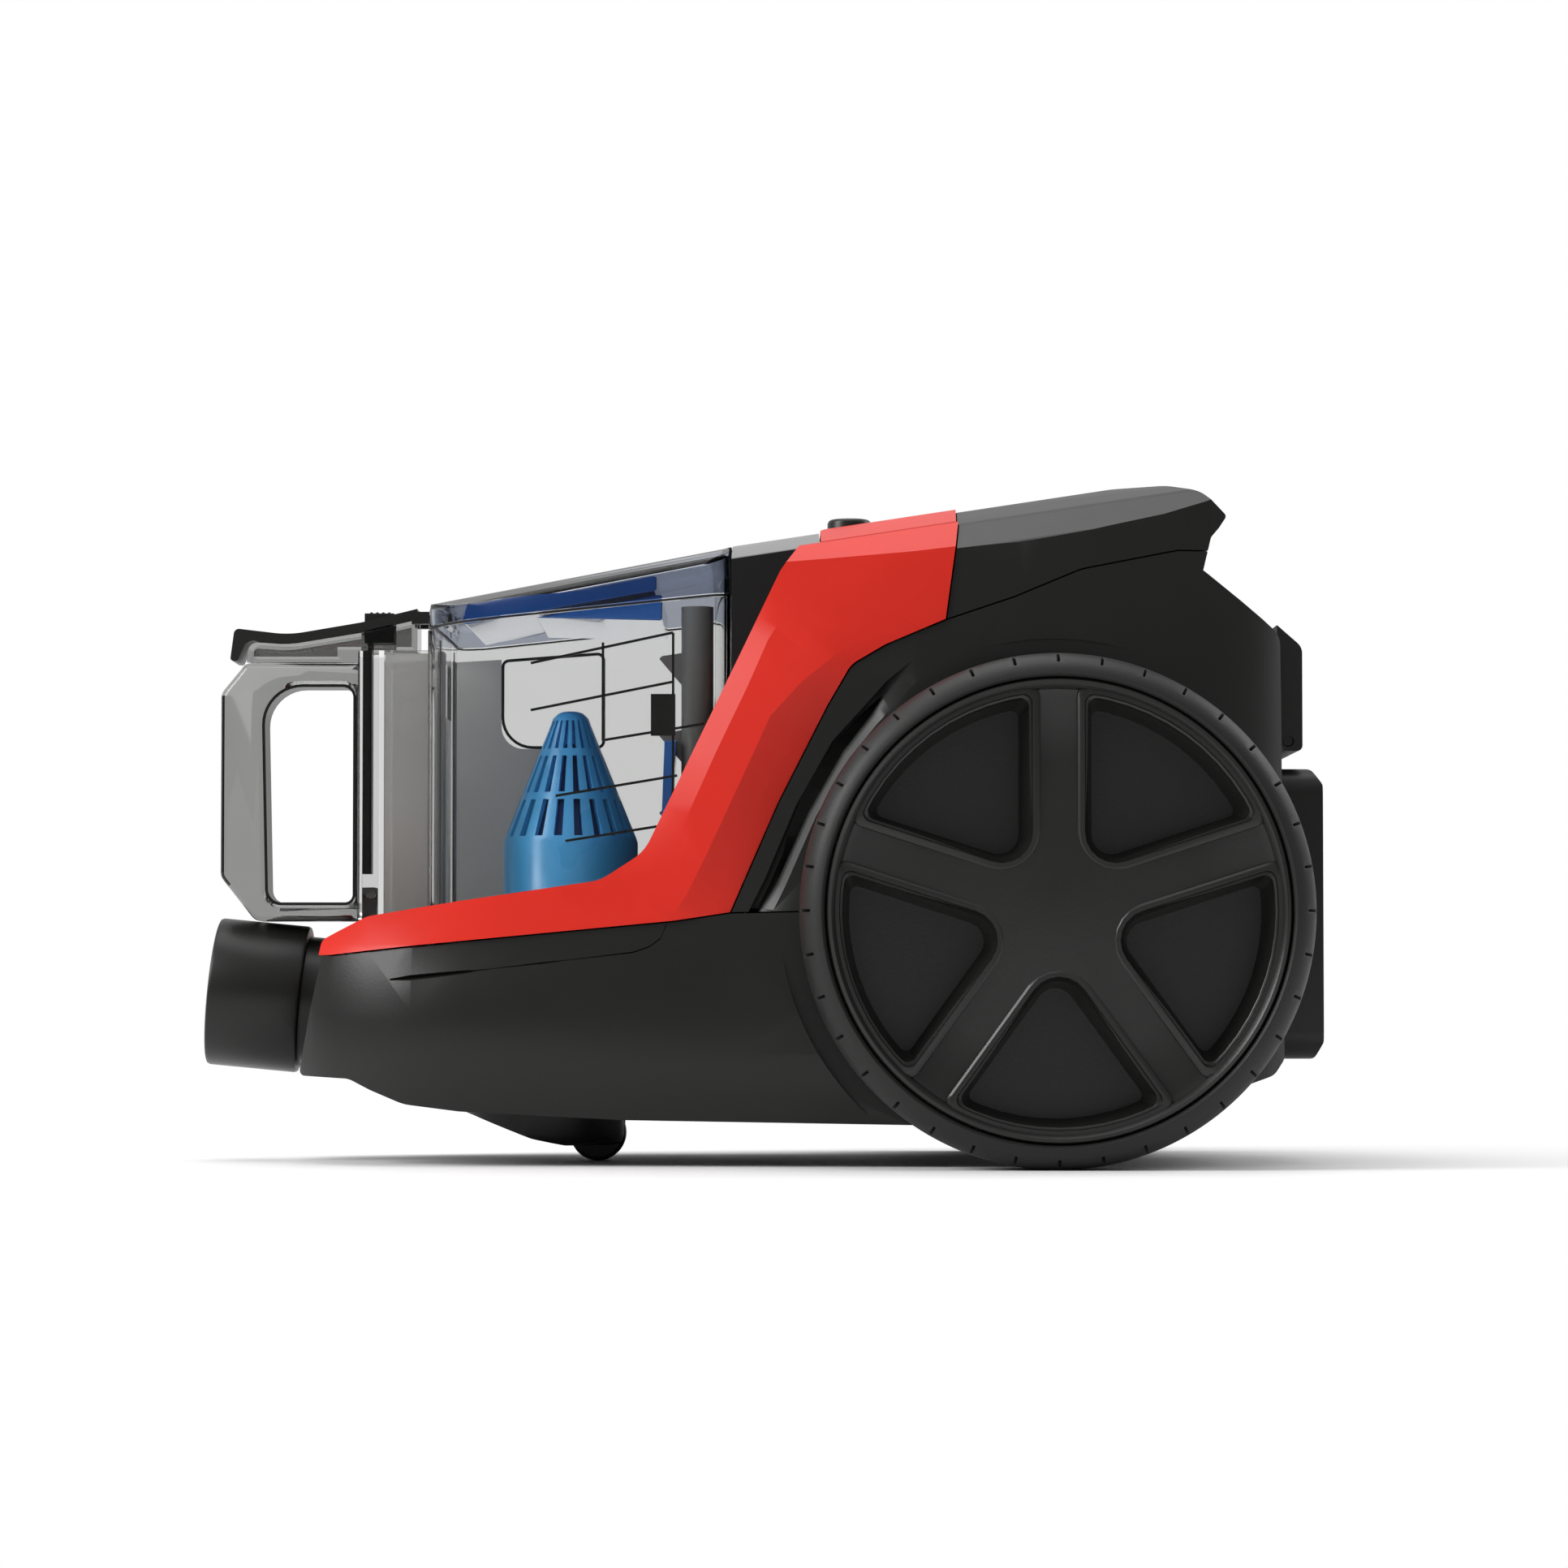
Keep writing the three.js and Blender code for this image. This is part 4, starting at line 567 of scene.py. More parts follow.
BIN_PLAN = [
    (bin_x, RISER_HALF, 6), (chamber_x, RISER_HALF, 3), (chamber_x, bin_half, 44), (bin_rear_x, bin_half, 12),
]
GRIP_HALF = 46.0
GRIP_RECESS = [
    (lip_x - 44, 214, 7), (lip_x - 44, 229, 8), (lip_x - 12, 234.5, 6), (lip_x - 4, 226), (lip_x + 20, 221),
    (lip_x + 20, 206),
]


def envelope(depth):
    """The body's outer surface, moved inwards by a distance."""
    body = meet(side_slab(inset(BODY_SIDE, depth)), hull(depth), crown(depth))
    for sign in (-1, 1):
        low, high = sorted((sign * (POCKET_Y - depth), sign * WIDE))
        cut(body, rod(POCKET_RADIUS + depth, low, high, "y", (axle_x, 0, wheel_radius), 128))
    cut(body, plan_slab(inset(plan_pair(BIN_PLAN), -BIN_GAP - depth), bay_floor - depth, DEEP))
    cut(body, side_slab(inset(GRIP_RECESS, -depth), -GRIP_HALF - depth, GRIP_HALF + depth))
    return body


def region(corners, limit, grow):
    """Everything inside a side outline, and inside a limit if there is one, grown by a distance."""
    inside = side_slab(inset(corners, -grow))
    return meet(inside, limit(grow)) if limit else inside


def within(shell, corners, limit=None):
    """The part of a shell inside a region, less half the parting gap."""
    return meet(shell, region(corners, limit, -SEAM / 2))


def without(shell, corners, limit=None):
    """The part of a shell outside a region, less half the parting gap."""
    return cut(shell, region(corners, limit, SEAM / 2))


def middle(half):
    """A limit for regions: the body's middle, up to a half width."""
    return lambda grow: box(-DEEP, DEEP, -half - grow, half + grow, -1, DEEP)


def trim_limit(grow):
    """A limit for regions: all but the nose's middle and the room between the trims behind the bin."""
    return cut(
        box(-DEEP, DEEP, -WIDE, WIDE, -1, DEEP),
        box(-DEEP - 1, chamber_x, -NOSE_TRIM + grow, NOSE_TRIM - grow, -2, DEEP + 1),
        box(bay_x, DEEP + 1, -DECK_HALF + grow, DECK_HALF - grow, -2, DEEP + 1),
    )


def bay_tub(grow):
    """The block that holds the bin bay's walls and floor."""
    return plan_slab(inset(plan_pair(BIN_PLAN), -BIN_GAP - WALL - grow), bay_floor - WALL - grow, DEEP)


SEAM_LINE = [
    (-DEEP, 73.6), (nose_x + 12, 75.2), (chamber_x - 7, 78), (bay_x - 22, 87), (bay_x - 2, 90), (bay_x + 60, 91),
]
TRIM_REAR = [
    (bay_x - 2, 90), (bay_x + 15, 129), (bay_x + 32.6, 163.6, 10), (bay_x + 41, 178, 10), (bay_x + 53, 185, 10),
    (cover_x - 8, 194), (cover_x, DECK_Z + 20),
]
TRIM_SIDE = SEAM_LINE[:-1] + TRIM_REAR[1:] + [(-DEEP, DECK_Z + 20)]
CHASSIS_SIDE = [(-DEEP, -1), (DEEP, -1), (DEEP, 91)] + SEAM_LINE[::-1]
COVER_SIDE = [
    (cover_x, DECK_Z + 30), (cover_x - 8, 194), (cover_x + 16, 202, 20), (cover_x + 40, 212, 20), (lip_x - 18, 219),
    (DEEP, 219), (DEEP, DECK_Z + 30),
]
DECK_SIDE = [(deck_x, 190), (cover_x - 8, 194), (cover_x, DECK_Z + 30), (deck_x, DECK_Z + 30)]
BEZEL_SIDE = [(-DEEP, 150), (deck_x, 150), (deck_x, DECK_Z + 30), (-DEEP, DECK_Z + 30)]
PROUD = 1.2

skin = cut(envelope(0), envelope(WALL))
proud_skin = cut(envelope(-PROUD), envelope(WALL))
tub = meet(copy_of(skin), bay_tub(0))
cut(skin, bay_tub(SEAM))
cut(proud_skin, bay_tub(SEAM))
trims = copy_of(proud_skin)
deck = within(proud_skin, DECK_SIDE, middle(DECK_HALF))
chassis = within(copy_of(skin), CHASSIS_SIDE)
upper = without(without(skin, CHASSIS_SIDE), TRIM_SIDE, trim_limit)
cover = within(copy_of(upper), COVER_SIDE)
upper = without(without(upper, COVER_SIDE), DECK_SIDE, middle(DECK_HALF))
bezel = within(copy_of(upper), BEZEL_SIDE, middle(DECK_HALF))
upper = without(upper, BEZEL_SIDE, middle(DECK_HALF))

# The bezel's hood stands straight up behind the bin, under the crown line carried forward.
hood_half = DECK_HALF - SEAM / 2
HOOD_TOP = DECK_Z - 4.3
hood_x = bin_rear_x + 0.4
HOOD_SIDE = [(hood_x, 176), (hood_x, HOOD_TOP, 5), (deck_x - SEAM / 2, DECK_Z + 2), (deck_x - SEAM / 2, 176)]
HOOD_INSIDE = [
    (hood_x + WALL, 100), (hood_x + WALL, HOOD_TOP - WALL, 3), (deck_x + 20, DECK_Z + 2), (deck_x + 20, 100),
]
hood_hollow = meet(side_slab(HOOD_INSIDE, -hood_half + WALL, hood_half - WALL), crown(WALL))
cut(bezel, copy_of(hood_hollow))
hood = cut(meet(side_slab(HOOD_SIDE, -hood_half, hood_half), crown(0)), hood_hollow)
tongue_half = hood_half - 4
under_bezel = meet(
    box(deck_x - 6, deck_x - 1, -tongue_half, tongue_half, 190, DEEP), cut(crown(WALL - 0.5), crown(WALL + 1.8))
)
under_deck = meet(
    box(deck_x - 1.2, deck_x + 5, -tongue_half, tongue_half, 190, DEEP), cut(crown(WALL + 0.4), crown(WALL + 1.8))
)
join(bezel, hood, under_bezel, under_deck)


def along_flank(rows, side, steps=6):
    """Lofts rows of (x, z, distance out from the trim's surface), stepping between them along the flank."""
    dense = []
    for row, following in zip(rows, rows[1:]):
        for step in range(steps):
            part = step / steps
            dense.append([[a + (b - a) * part for a, b in zip(p, q)] for p, q in zip(row, following)])
    dense.append(rows[-1])
    return loft([[(x, side * (flank(x, z) + PROUD + out), z) for x, z, out in row] for row in dense])


# Each row crosses the trim: its front edge, the inner edge of the bevel along it, the ridge, and the rear edge,
# then how far the bevel falls at the front edge, how high the ridge stands, and how far the rear facet falls.
TRIM_ROWS = [
    ((-72, 104), (-66, 93), (-48, 86), (-12, 80), 0.0, 0.02, 0.0),
    ((-54, 107), (-45, 97), (-32, 86), (-8, 82), 1.0, 0.5, 1.6),
    ((-44, 113), (-35, 105), (-25, 96), (-3, 90), 2.4, 1.0, 3.8),
    ((-38, 124), (-27, 119), (-18, 110), (3, 102), 3.8, 1.4, 5.4),
    ((-24, 152), (-14, 148), (-5.5, 137), (14, 128), 4.4, 1.4, 6.0),
    ((-13, 175), (-3, 171), (5, 160), (27, 151), 4.4, 1.4, 6.0),
    ((-5, 192), (4, 187), (16, 172), (38, 163), 3.6, 1.2, 5.0),
    ((0, 202), (9, 195), (26, 180), (46, 172), 1.6, 0.7, 3.2),
    ((5, 210), (14, 202), (38, 189), (56, 180), 0.0, 0.2, 1.0),
    ((24, 218), (34, 207), (52, 195), (66, 185), 0.0, 0.02, 0.0),
]
TRIM_END = ((27, 219), (37, 208), (55, 196), (69, 186))  # where the facets run out under the surface
# The inner and outer edge of the arch's chamfer behind the trim, in step with those rows.
ARCH_FOOT = [
    (-10, 79), (-6, 81), (-1, 89), (5, 101), (16, 127), (28.5, 149), (39, 161), (47, 170), (57, 178), (67, 183),
]
ARCH_LIP = [
    (-5, 78), (-1, 79), (4, 87), (10, 99), (21, 124), (33, 145), (42, 156), (50, 165), (59, 174), (69, 180),
]
OUTSIDE = 14.0  # clear of the body
SUNK = 2.2  # under the trim's surface, within its thickness
ARCH_REGION = [(-DEEP, 91 + SEAM)] + TRIM_REAR + [(DEEP, DECK_Z + 20), (DEEP, 91 + SEAM)]


def behind_trim():
    """The room behind the trims and above the chassis, outside the wheels' pockets."""
    wells = [
        rod(POCKET_RADIUS + 1, *sorted((sign * 80, sign * WIDE)), "y", (axle_x, 0, wheel_radius), 96)
        for sign in (-1, 1)
    ]
    return cut(side_slab(ARCH_REGION), *wells)


for side in (-1, 1):
    sinking, facets = [], []
    for front, inner, ridge, back, fall, rise, dip in TRIM_ROWS:
        sinking.append([
            (*front, -fall - 0.1), (*inner, -0.3), (*back, -dip - 0.1), (*back, OUTSIDE), (*front, OUTSIDE),
        ])
        facets.append([
            (*front, -fall), (*inner, 0.02), (*ridge, rise), (*back, -dip), (*back, -dip - SUNK),
            (*front, -fall - SUNK),
        ])
    front, inner, ridge, back = TRIM_END
    facets.append([(*corner, -0.15) for corner in TRIM_END] + [(*back, -SUNK), (*front, -SUNK)])
    cut(trims, along_flank(sinking, side))
    join(trims, meet(along_flank(facets, side), side_slab(inset(BODY_SIDE, -PROUD)), crown(-PROUD)))
    backing, chamfer = [], []
    for (front, inner, ridge, back, fall, rise, dip), foot, lip in zip(TRIM_ROWS, ARCH_FOOT, ARCH_LIP):
        backing.append([
            (*back, -PROUD - 1), (*lip, -PROUD - 1), (*lip, -PROUD - 5), (*foot, -dip - 4), (*back, -dip - 4),
        ])
        chamfer.append([(*back, -dip), (*foot, -dip), (*lip, -PROUD), (*lip, OUTSIDE), (*back, OUTSIDE)])
    join(upper, meet(along_flank(backing, side), behind_trim()))
    cut(upper, along_flank(chamfer, side))
within(trims, TRIM_SIDE, trim_limit)


FLANK_LINE = [(-131, 66.5), (-100, 69.6), (-70, 73), (-44, 76), (-38, 78), (-34, 81), (-32, 86)]
LINE_DEPTH = 0.55
LINE_MOUTH = 1.35  # half the fine sunk line's height, 2 mm out from the flank
for side in (-1, 1):
    cut(chassis, loft([
        [(x, side * (flank(x, z) - LINE_DEPTH), z), (x, side * (flank(x, z) + 2), z + LINE_MOUTH),
         (x, side * (flank(x, z) + 2), z - LINE_MOUTH)]
        for x, z in FLANK_LINE
    ]))

piece("body_chassis", chassis, BLACK, "body", ["chassis"])
piece("body_bay", tub, BLACK, "body", ["bin_bay"])
piece("body_trims", trims, RED, "body", ["side_trim_left", "side_trim_right"], bevel=0.7, angle=12)
piece("body_deck", deck, RED, "body", ["top_deck"], bevel=0.8)
piece("body_cover", cover, BLACK, "body", ["handle_cover"], bevel=1.0)
piece("body_bezel", bezel, GLOSS, "body", ["bay_bezel"], bevel=0.8)
upper_nodes = ["nose_cover", "wheel_arch_left", "wheel_arch_right", "rear_housing"]
piece("body_upper", upper, BLACK, "body", upper_nodes)

# ---- rear wheels
SPOKES = 5
SPOKE_HALF = 10.8
TYRE_DEPTH = 9.0
wheel_width = wheel_face - wheel_inner
disc_radius = wheel_radius - TYRE_DEPTH
rim_radius = disc_radius - 2.5
FACE_RECESS = 3.0
HUB_FILLET = 9.0
RIM_FILLET = 7.0
NOTCHES = 36
POCKET_OUT = rim_radius - 4.0
POCKET_FLOOR = 7.0


def pocket_outline(index, grow):
    """One gap between spokes: it narrows towards the hub, with wide fillets there."""
    turn = math.pi / 2 + (index + 0.5) * 2 * math.pi / SPOKES
    half = math.pi / SPOKES
    outer = POCKET_OUT + grow

    spoke = SPOKE_HALF - grow
    reach = math.sqrt(outer * outer - spoke * spoke)
    along = reach * math.cos(half) + spoke * math.sin(half)
    across = reach * math.sin(half) - spoke * math.cos(half)

    def at(x, z, fillet=0.0):
        return (x * math.cos(turn) - z * math.sin(turn), x * math.sin(turn) + z * math.cos(turn), fillet)

    corners = [at(along, -across, RIM_FILLET + grow)]
    for step in range(-4, 5):
        angle = math.atan2(across, along) * step / 5
        corners.append(at(outer * math.cos(angle), outer * math.sin(angle)))
    corners.append(at(along, across, RIM_FILLET + grow))
    corners.append(at(spoke / math.sin(half), 0, HUB_FILLET + grow))
    return corners


def pocket_ring(index, grow, y):
    return [(p.x, y, p.y) for p in rounded(pocket_outline(index, grow), 6)]


def wheel_pocket(index):
    """A pocket with a raised, rounded lip: narrow in its depth, and flared where it meets the face."""
    face = wheel_width - FACE_RECESS
    return loft([
        pocket_ring(index, -2.0, POCKET_FLOOR),
        pocket_ring(index, 0.0, face - 5.0),
        pocket_ring(index, 0.6, face - 1.4),
        pocket_ring(index, 2.0, face + 0.4),
        pocket_ring(index, 2.2, face + 6.0),
    ])


def wheel_disc():
    """A dished disc with pockets between its spokes, raised ribs along them, and a bore for the axle."""
    face = wheel_width - FACE_RECESS
    profile = [
        (0, 0), (disc_radius, 0), (disc_radius, wheel_width - 2.0), (disc_radius - 0.8, wheel_width - 0.5),
        (disc_radius - 2.0, wheel_width), (rim_radius + 0.8, wheel_width - 0.4),
        (rim_radius - 0.6, wheel_width - 1.6),
        (rim_radius - 1.6, face - 0.6), (rim_radius - 4.5, face - 1.6), (52, face - 1.2), (24, face + 0.4),
        (10, face + 1.1), (0, face + 1.2),
    ]
    disc = lathe(profile, "y", (0, 0, 0), 160)
    cut(disc, *[wheel_pocket(index) for index in range(SPOKES)])
    cut(disc, rod(6.5, -1, wheel_width - 8, "y", (0, 0, 0), 48))
    return join(disc, *[spoke_ridge(index) for index in range(SPOKES)])


def spoke_ridge(index):
    """A low raised rib along each edge of a spoke, running into the hub's fillets."""
    face = wheel_width - FACE_RECESS - 2.2
    return cut(
        loft([
            pocket_ring(index, 4.6, face),
            pocket_ring(index, 4.2, face + 2.4),
            pocket_ring(index, 3.4, face + 3.0),
        ]),
        loft([
            pocket_ring(index, 1.2, face - 1),
            pocket_ring(index, 1.6, face + 2.6),
            pocket_ring(index, 2.4, face + 4.0),
        ]),
    )


def tyre():
    """A rounded tread with a ring of fine notches at its outer shoulder."""
    outer, inner = wheel_radius, disc_radius + 0.25
    profile = [
        (inner, 0.5), (outer - 5, 0.5), (outer - 1.6, 2.2), (outer, 6.0), (outer, wheel_width - 10.5),
        (outer - 0.4, wheel_width - 7.5), (outer - 1.8, wheel_width - 4.4), (outer - 4.0, wheel_width - 1.8),
        (outer - 6.2, wheel_width - 0.4), (inner + 1.2, wheel_width), (inner, wheel_width - 1.2),
    ]
    ring = lathe(profile, "y", (0, 0, 0), 180)
    for index in range(NOTCHES):
        notch = box(-0.45, 0.45, wheel_width - 7.2, wheel_width + 1, outer - 3.6, outer + 1)
        cut(ring, moved(notch, Matrix.Rotation(2 * math.pi * index / NOTCHES, 4, "Y")))
    return ring


for side, sign, body in (("left", -1, "wheel_left"), ("right", 1, "wheel_right")):
    turn = Matrix.Rotation(math.pi if sign < 0 else 0, 4, "Z")
    place = Matrix.Translation((axle_x, 0, wheel_radius)) @ turn @ Matrix.Translation((0, wheel_inner, 0))
    disc = moved(wheel_disc(), place)
    piece(f"wheel_{side}_disc", disc, WHEEL, body, [f"wheel_disc_{side}"], bevel=0.35, angle=35)
    piece(f"wheel_{side}_tyre", moved(tyre(), place), RUBBER, body, [f"tyre_{side}"], bevel=0.25, angle=40)

# ---- hose inlet
INLET_TILT = math.radians(5.5)
inlet_radius = span("inlet_tube")[1][1]
INLET_BORE = 21.0
INLET_NECK = 23.5
tip = (rest_x * -1 + inlet_radius * math.sin(INLET_TILT), 62.8)
inlet = turned(
    lathe([
        (INLET_BORE, 0.8), (INLET_BORE + 0.8, 0), (inlet_radius - 1.4, 0), (inlet_radius - 0.4, 0.4),
        (inlet_radius, 1.4), (inlet_radius, 32.6), (inlet_radius - 0.4, 33.6), (inlet_radius - 1.4, 34),
        (INLET_NECK, 34), (INLET_NECK, 46.5), (INLET_BORE, 46.5), (INLET_BORE, 12), (INLET_BORE + 0.7, 11),
        (INLET_BORE + 0.7, 9), (INLET_BORE, 8),
    ], "x", (tip[0], 0, tip[1]), 128),
    INLET_TILT, *tip,
)
piece("inlet_collar", inlet, BLACK, "body", ["inlet_tube"], bevel=0, angle=30)

# ---- caster
pod_radius = (pod_high[1] - pod_low[1]) / 2
roller_radius = (roller_high[2] - roller_low[2]) / 2
roller_half = (roller_high[1] - roller_low[1]) / 2
pod = meet(
    lathe([
        (0, pod_low[2]), (pod_radius - 3, pod_low[2]), (pod_radius - 0.8, pod_low[2] + 1),
        (pod_radius, pod_low[2] + 4), (pod_radius, pod_high[2]), (0, pod_high[2]),
    ], "z", (caster_x, 0, 0)),
    side_slab([
        (caster_x - 60, 28), (caster_x - 26, 17, 14), (caster_x - 4, 8.5, 20), (caster_x + 8, 6.0, 6),
        (caster_x + 60, 6.0), (caster_x + 60, 60), (caster_x - 60, 60),
    ], steps=12),
)
slot_reach = roller_radius + 1.5
slot_half = roller_half + 1
cut(
    pod,
    side_slab([(roller_x - slot_reach, 0), (roller_x + slot_reach + 30, 0), (roller_x + slot_reach + 30, 14, 3),
               (roller_x + slot_reach, 22, 6), (roller_x - slot_reach, 22, 6)], -slot_half, slot_half),
)
piece("caster_cup", pod, BLACK, "caster_swivel", ["caster_pod"], bevel=0.5)
roller = lathe([(2.3, -roller_half), (roller_radius - 1.2, -roller_half), (roller_radius, -roller_half + 1.5),
                (roller_radius, roller_half - 1.5), (roller_radius - 1.2, roller_half), (2.3, roller_half)],
               "y", (roller_x, 0, roller_radius), 72)
piece("caster_tread", roller, RUBBER, "caster_roller", ["caster_wheel"], bevel=0.3)

# ---- dust bin
bin_floor = bin_low[2]
RISER_TOP = 188.0
CHANNEL = 8.0
LUG_HALF = 10.0
outlet_radius = span("bin_outlet_seal")[1][1] - 4
CHAMBER_PLAN = [(chamber_x, RISER_HALF), (chamber_x, bin_half, 44), (bin_rear_x, bin_half, 12)]


def rim_z(x):
    """Height of the bin's sloping rim."""
    return RIM_Z + (x - chamber_x) * math.tan(RIM_SLOPE)


floor_top = bin_floor + BIN_WALL
shell = cut(
    plan_slab(plan_pair(BIN_PLAN), bin_floor, DEEP, 14),
    plan_slab(inset(plan_pair(CHAMBER_PLAN), BIN_WALL), floor_top, DEEP + 1, 14),
    box(bin_x + BIN_WALL, chamber_x + 1, -RISER_HALF + BIN_WALL, RISER_HALF - BIN_WALL, floor_top, DEEP + 1),
)
join(
    shell,
    box(chamber_x - 1, chamber_x + BIN_WALL - 1, -RISER_HALF + 1, RISER_HALF - 1, bin_floor + 1, RISER_TOP + 6),
    box(bin_x + CHANNEL, bin_x + CHANNEL + 2, -RISER_HALF + 1, RISER_HALF - 1, bin_floor + 1, RISER_TOP),
)
meet(shell, side_slab([
    (-DEEP, 0), (DEEP, 0), (DEEP, rim_z(DEEP)), (chamber_x - 1, rim_z(chamber_x)), (chamber_x - 1, RISER_TOP),
    (-DEEP, RISER_TOP),
]))
mouth = (bin_x + 10.5, chamber_x - 4, RISER_HALF - 6)
cut(
    shell,
    box(mouth[0], mouth[1], -mouth[2], mouth[2], bin_floor - 1, floor_top + 2),
    rod(outlet_radius, bin_floor - 1, floor_top + 2, "z", (cone_x, 0, 0)),
    box(chamber_x - 2, chamber_x + 4, -16, 16, RISER_TOP - 24, RISER_TOP - 4),
    box(bin_x - 1, bin_x + CHANNEL, -4.5, 4.5, bin_floor - 1, bin_floor + 9),
)
piece("bin_chamber", shell, CLEAR, "bin", ["bin_shell"], bevel=0.4)

RIB_HALF = 0.45
RIB_DEPTH = 1.0


def bar(x0, z0, x1, z1, y):
    """A thin straight rib in a plane of constant Y."""
    low, high = Vector((x0, z0)), Vector((x1, z1))
    run = (high - low).normalized()
    side = Vector((-run.y, run.x)) * RIB_HALF
    return side_slab([low + side, low - side, high - side, high + side], y, y + RIB_DEPTH)


# Dark ribs inside the chamber's near wall, and the post that they end at.
RIBS = [
    (38.3, 180.1, 89.4, 191.1), (38.3, 163.2, 89.4, 173.4), (65, 152.5, 100.5, 158.3), (47.3, 132.4, 90.9, 139.7),
    (50.8, 116.2, 83.6, 121.4), (64.2, 152.2, 64.2, 187.5), (89.4, 110, 89.4, 191),
]
wall_y = -bin_half + BIN_WALL + 0.3
ribs = [bar(chamber_x + x0, z0, chamber_x + x1, z1, wall_y) for x0, z0, x1, z1 in RIBS]
ribs.append(box(chamber_x + 81.4, chamber_x + 90.2, wall_y, wall_y + 2.2, 154, 169))
piece("bin_ribs", join(*ribs), BLACK, "bin", bevel=0)

# A misty panel behind the far wall, with a framed window cut in it, and one behind each side of the riser.
FRAME_OUT = [(chamber_x + 21.9, 155, 12), (chamber_x + 61.4, 155, 3), (chamber_x + 61.4, 192, 3),
             (chamber_x + 21.9, 189, 3)]
MISTED = [
    (chamber_x + 1.5, floor_top + 0.5), (chamber_x + 50, floor_top + 0.5), (chamber_x + 50, 155),
    (chamber_x + 40, 155), (chamber_x + 21.9, 155, 12), (chamber_x + 21.9, 189), (chamber_x + 1.5, 188),
]
frame_y = bin_half - BIN_WALL - 30
window_frame = cut(
    side_slab(FRAME_OUT, frame_y, frame_y + 1.5),
    side_slab(inset(FRAME_OUT, 1.1), frame_y - 1, frame_y + 3),
)
piece("bin_window_frame", window_frame, BLACK, "bin", bevel=0)
misted = side_slab(MISTED, frame_y + 0.2, frame_y + 1.2, 10)
piece("bin_misted_panel", misted, MIST, "bin", bevel=0)
panel_y = RISER_HALF - BIN_WALL - 1.4
riser_panels = join(*[
    box(bin_x + CHANNEL + 2.4, chamber_x - 1.4, *sorted((sign * panel_y, sign * (panel_y + 1.1))),
        floor_top + 0.5, RISER_TOP - 1)
    for sign in (1, -1)
])
piece("bin_riser_panel", riser_panels, MIST, "bin", bevel=0)
# Painted shade down the chamber's inner corners beside the riser: a grey strip on each side, with a black line at its
# outer edge.
corner_shade_edge = join(*[
    rod(1.1, floor_top + 0.4, rim_z(chamber_x) - 2, "z", (chamber_x + 1.4, sign * (RISER_HALF + 9), 0), 16)
    for sign in (-1, 1)
])
corner_shade = join(*[
    box(chamber_x + 2.6, chamber_x + 3.4, *sorted((sign * 21, sign * 33)), floor_top + 0.4, 187)
    for sign in (-1, 1)
])
piece("bin_corner_painted_shade_edges", corner_shade_edge, BLACK, "bin", bevel=0)
piece("bin_corner_painted_shade", corner_shade, GREY, "bin", bevel=0)
FLAP = [(chamber_x + 85, 126), (chamber_x + 88, 126), (chamber_x + 90.5, 153), (chamber_x + 86, 153)]
piece("bin_flap", side_slab(FLAP, -58, -30), DEEP_BLUE, "bin", bevel=0.4)

# The grey post at the back of the chamber, with its gussets.
post_x = chamber_x + 98
post = join(
    rod(6.0, floor_top + 0.3, rim_z(post_x) - 1.5, "z", (post_x, -52, 0), 48),
    *[
        side_slab(
            [(post_x - 14, z + 9), (post_x - 13, z + 10), (post_x, z + 12), (post_x, z), (post_x - 3, z - 4)], -53, -51
        )
        for z in (118, 146, 174)
    ],
)
piece("bin_post", post, GREY, "bin", bevel=0.3)

# Cyclone cone: a plain skirt, then three tiers of slots between fine ribs.
CONE_TIERS = [(0.40, 0.575), (0.61, 0.785), (0.82, 0.955)]
CONE_RIBS = 20
cone_base, cone_tip = cone_low[2], cone_high[2]
cone_height = cone_tip - cone_base
CONE_RADIUS = 25.0
CONE_SKIRT = 30.0
CONE_TIP = 6.0
CONE_WALL = 2.0


def cone_radius(z):
    """The cyclone cone's outer radius at a height."""
    share_up = max(z - cone_base - CONE_SKIRT, 0) / (cone_height - CONE_SKIRT)
    return CONE_RADIUS + (CONE_TIP - CONE_RADIUS) * share_up


skirt_top = cone_base + CONE_SKIRT
skirt_inner, tip_inner = CONE_RADIUS - CONE_WALL, CONE_TIP - CONE_WALL
cone = lathe([
    (outlet_radius, cone_base), (CONE_RADIUS + 3, cone_base), (CONE_RADIUS + 3, cone_base + 2.4),
    (CONE_RADIUS + 1, cone_base + 3), (CONE_RADIUS, cone_base + 5), (CONE_RADIUS, skirt_top - 1),
    (CONE_RADIUS - 0.6, skirt_top + 1), (CONE_TIP + 1.4, cone_tip - 5), (CONE_TIP + 0.6, cone_tip - 2.6),
    (CONE_TIP - 1.4, cone_tip - 0.7), (CONE_TIP - 3.4, cone_tip), (0, cone_tip), (0, cone_tip - 6),
    (tip_inner, cone_tip - 7), (skirt_inner - 0.6, skirt_top), (skirt_inner, skirt_top - 2),
    (skirt_inner, cone_base + 3),
], "z", (cone_x, 0, 0), 80)
for start, end in CONE_TIERS:
    low, high = cone_base + start * cone_height, cone_base + end * cone_height
    for index in range(CONE_RIBS):
        widths = [0.21 * 2 * math.pi * cone_radius(z) / CONE_RIBS for z in (low, high)]
        rings = []
        for z, width in zip((low, high), widths):
            near, far = cone_radius(z) - 4.5, cone_radius(z) + 4
            rings.append([(near, -width, z), (far, -width, z), (far, width, z), (near, width, z)])
        slot = moved(loft(rings), Matrix.Rotation(2 * math.pi * (index + 0.5) / CONE_RIBS, 4, "Z"))
        cut(cone, moved(slot, Matrix.Translation((cone_x, 0, 0))))
piece("bin_cone", cone, BLUE, "bin", ["cyclone_cone"], bevel=0.3, angle=35)
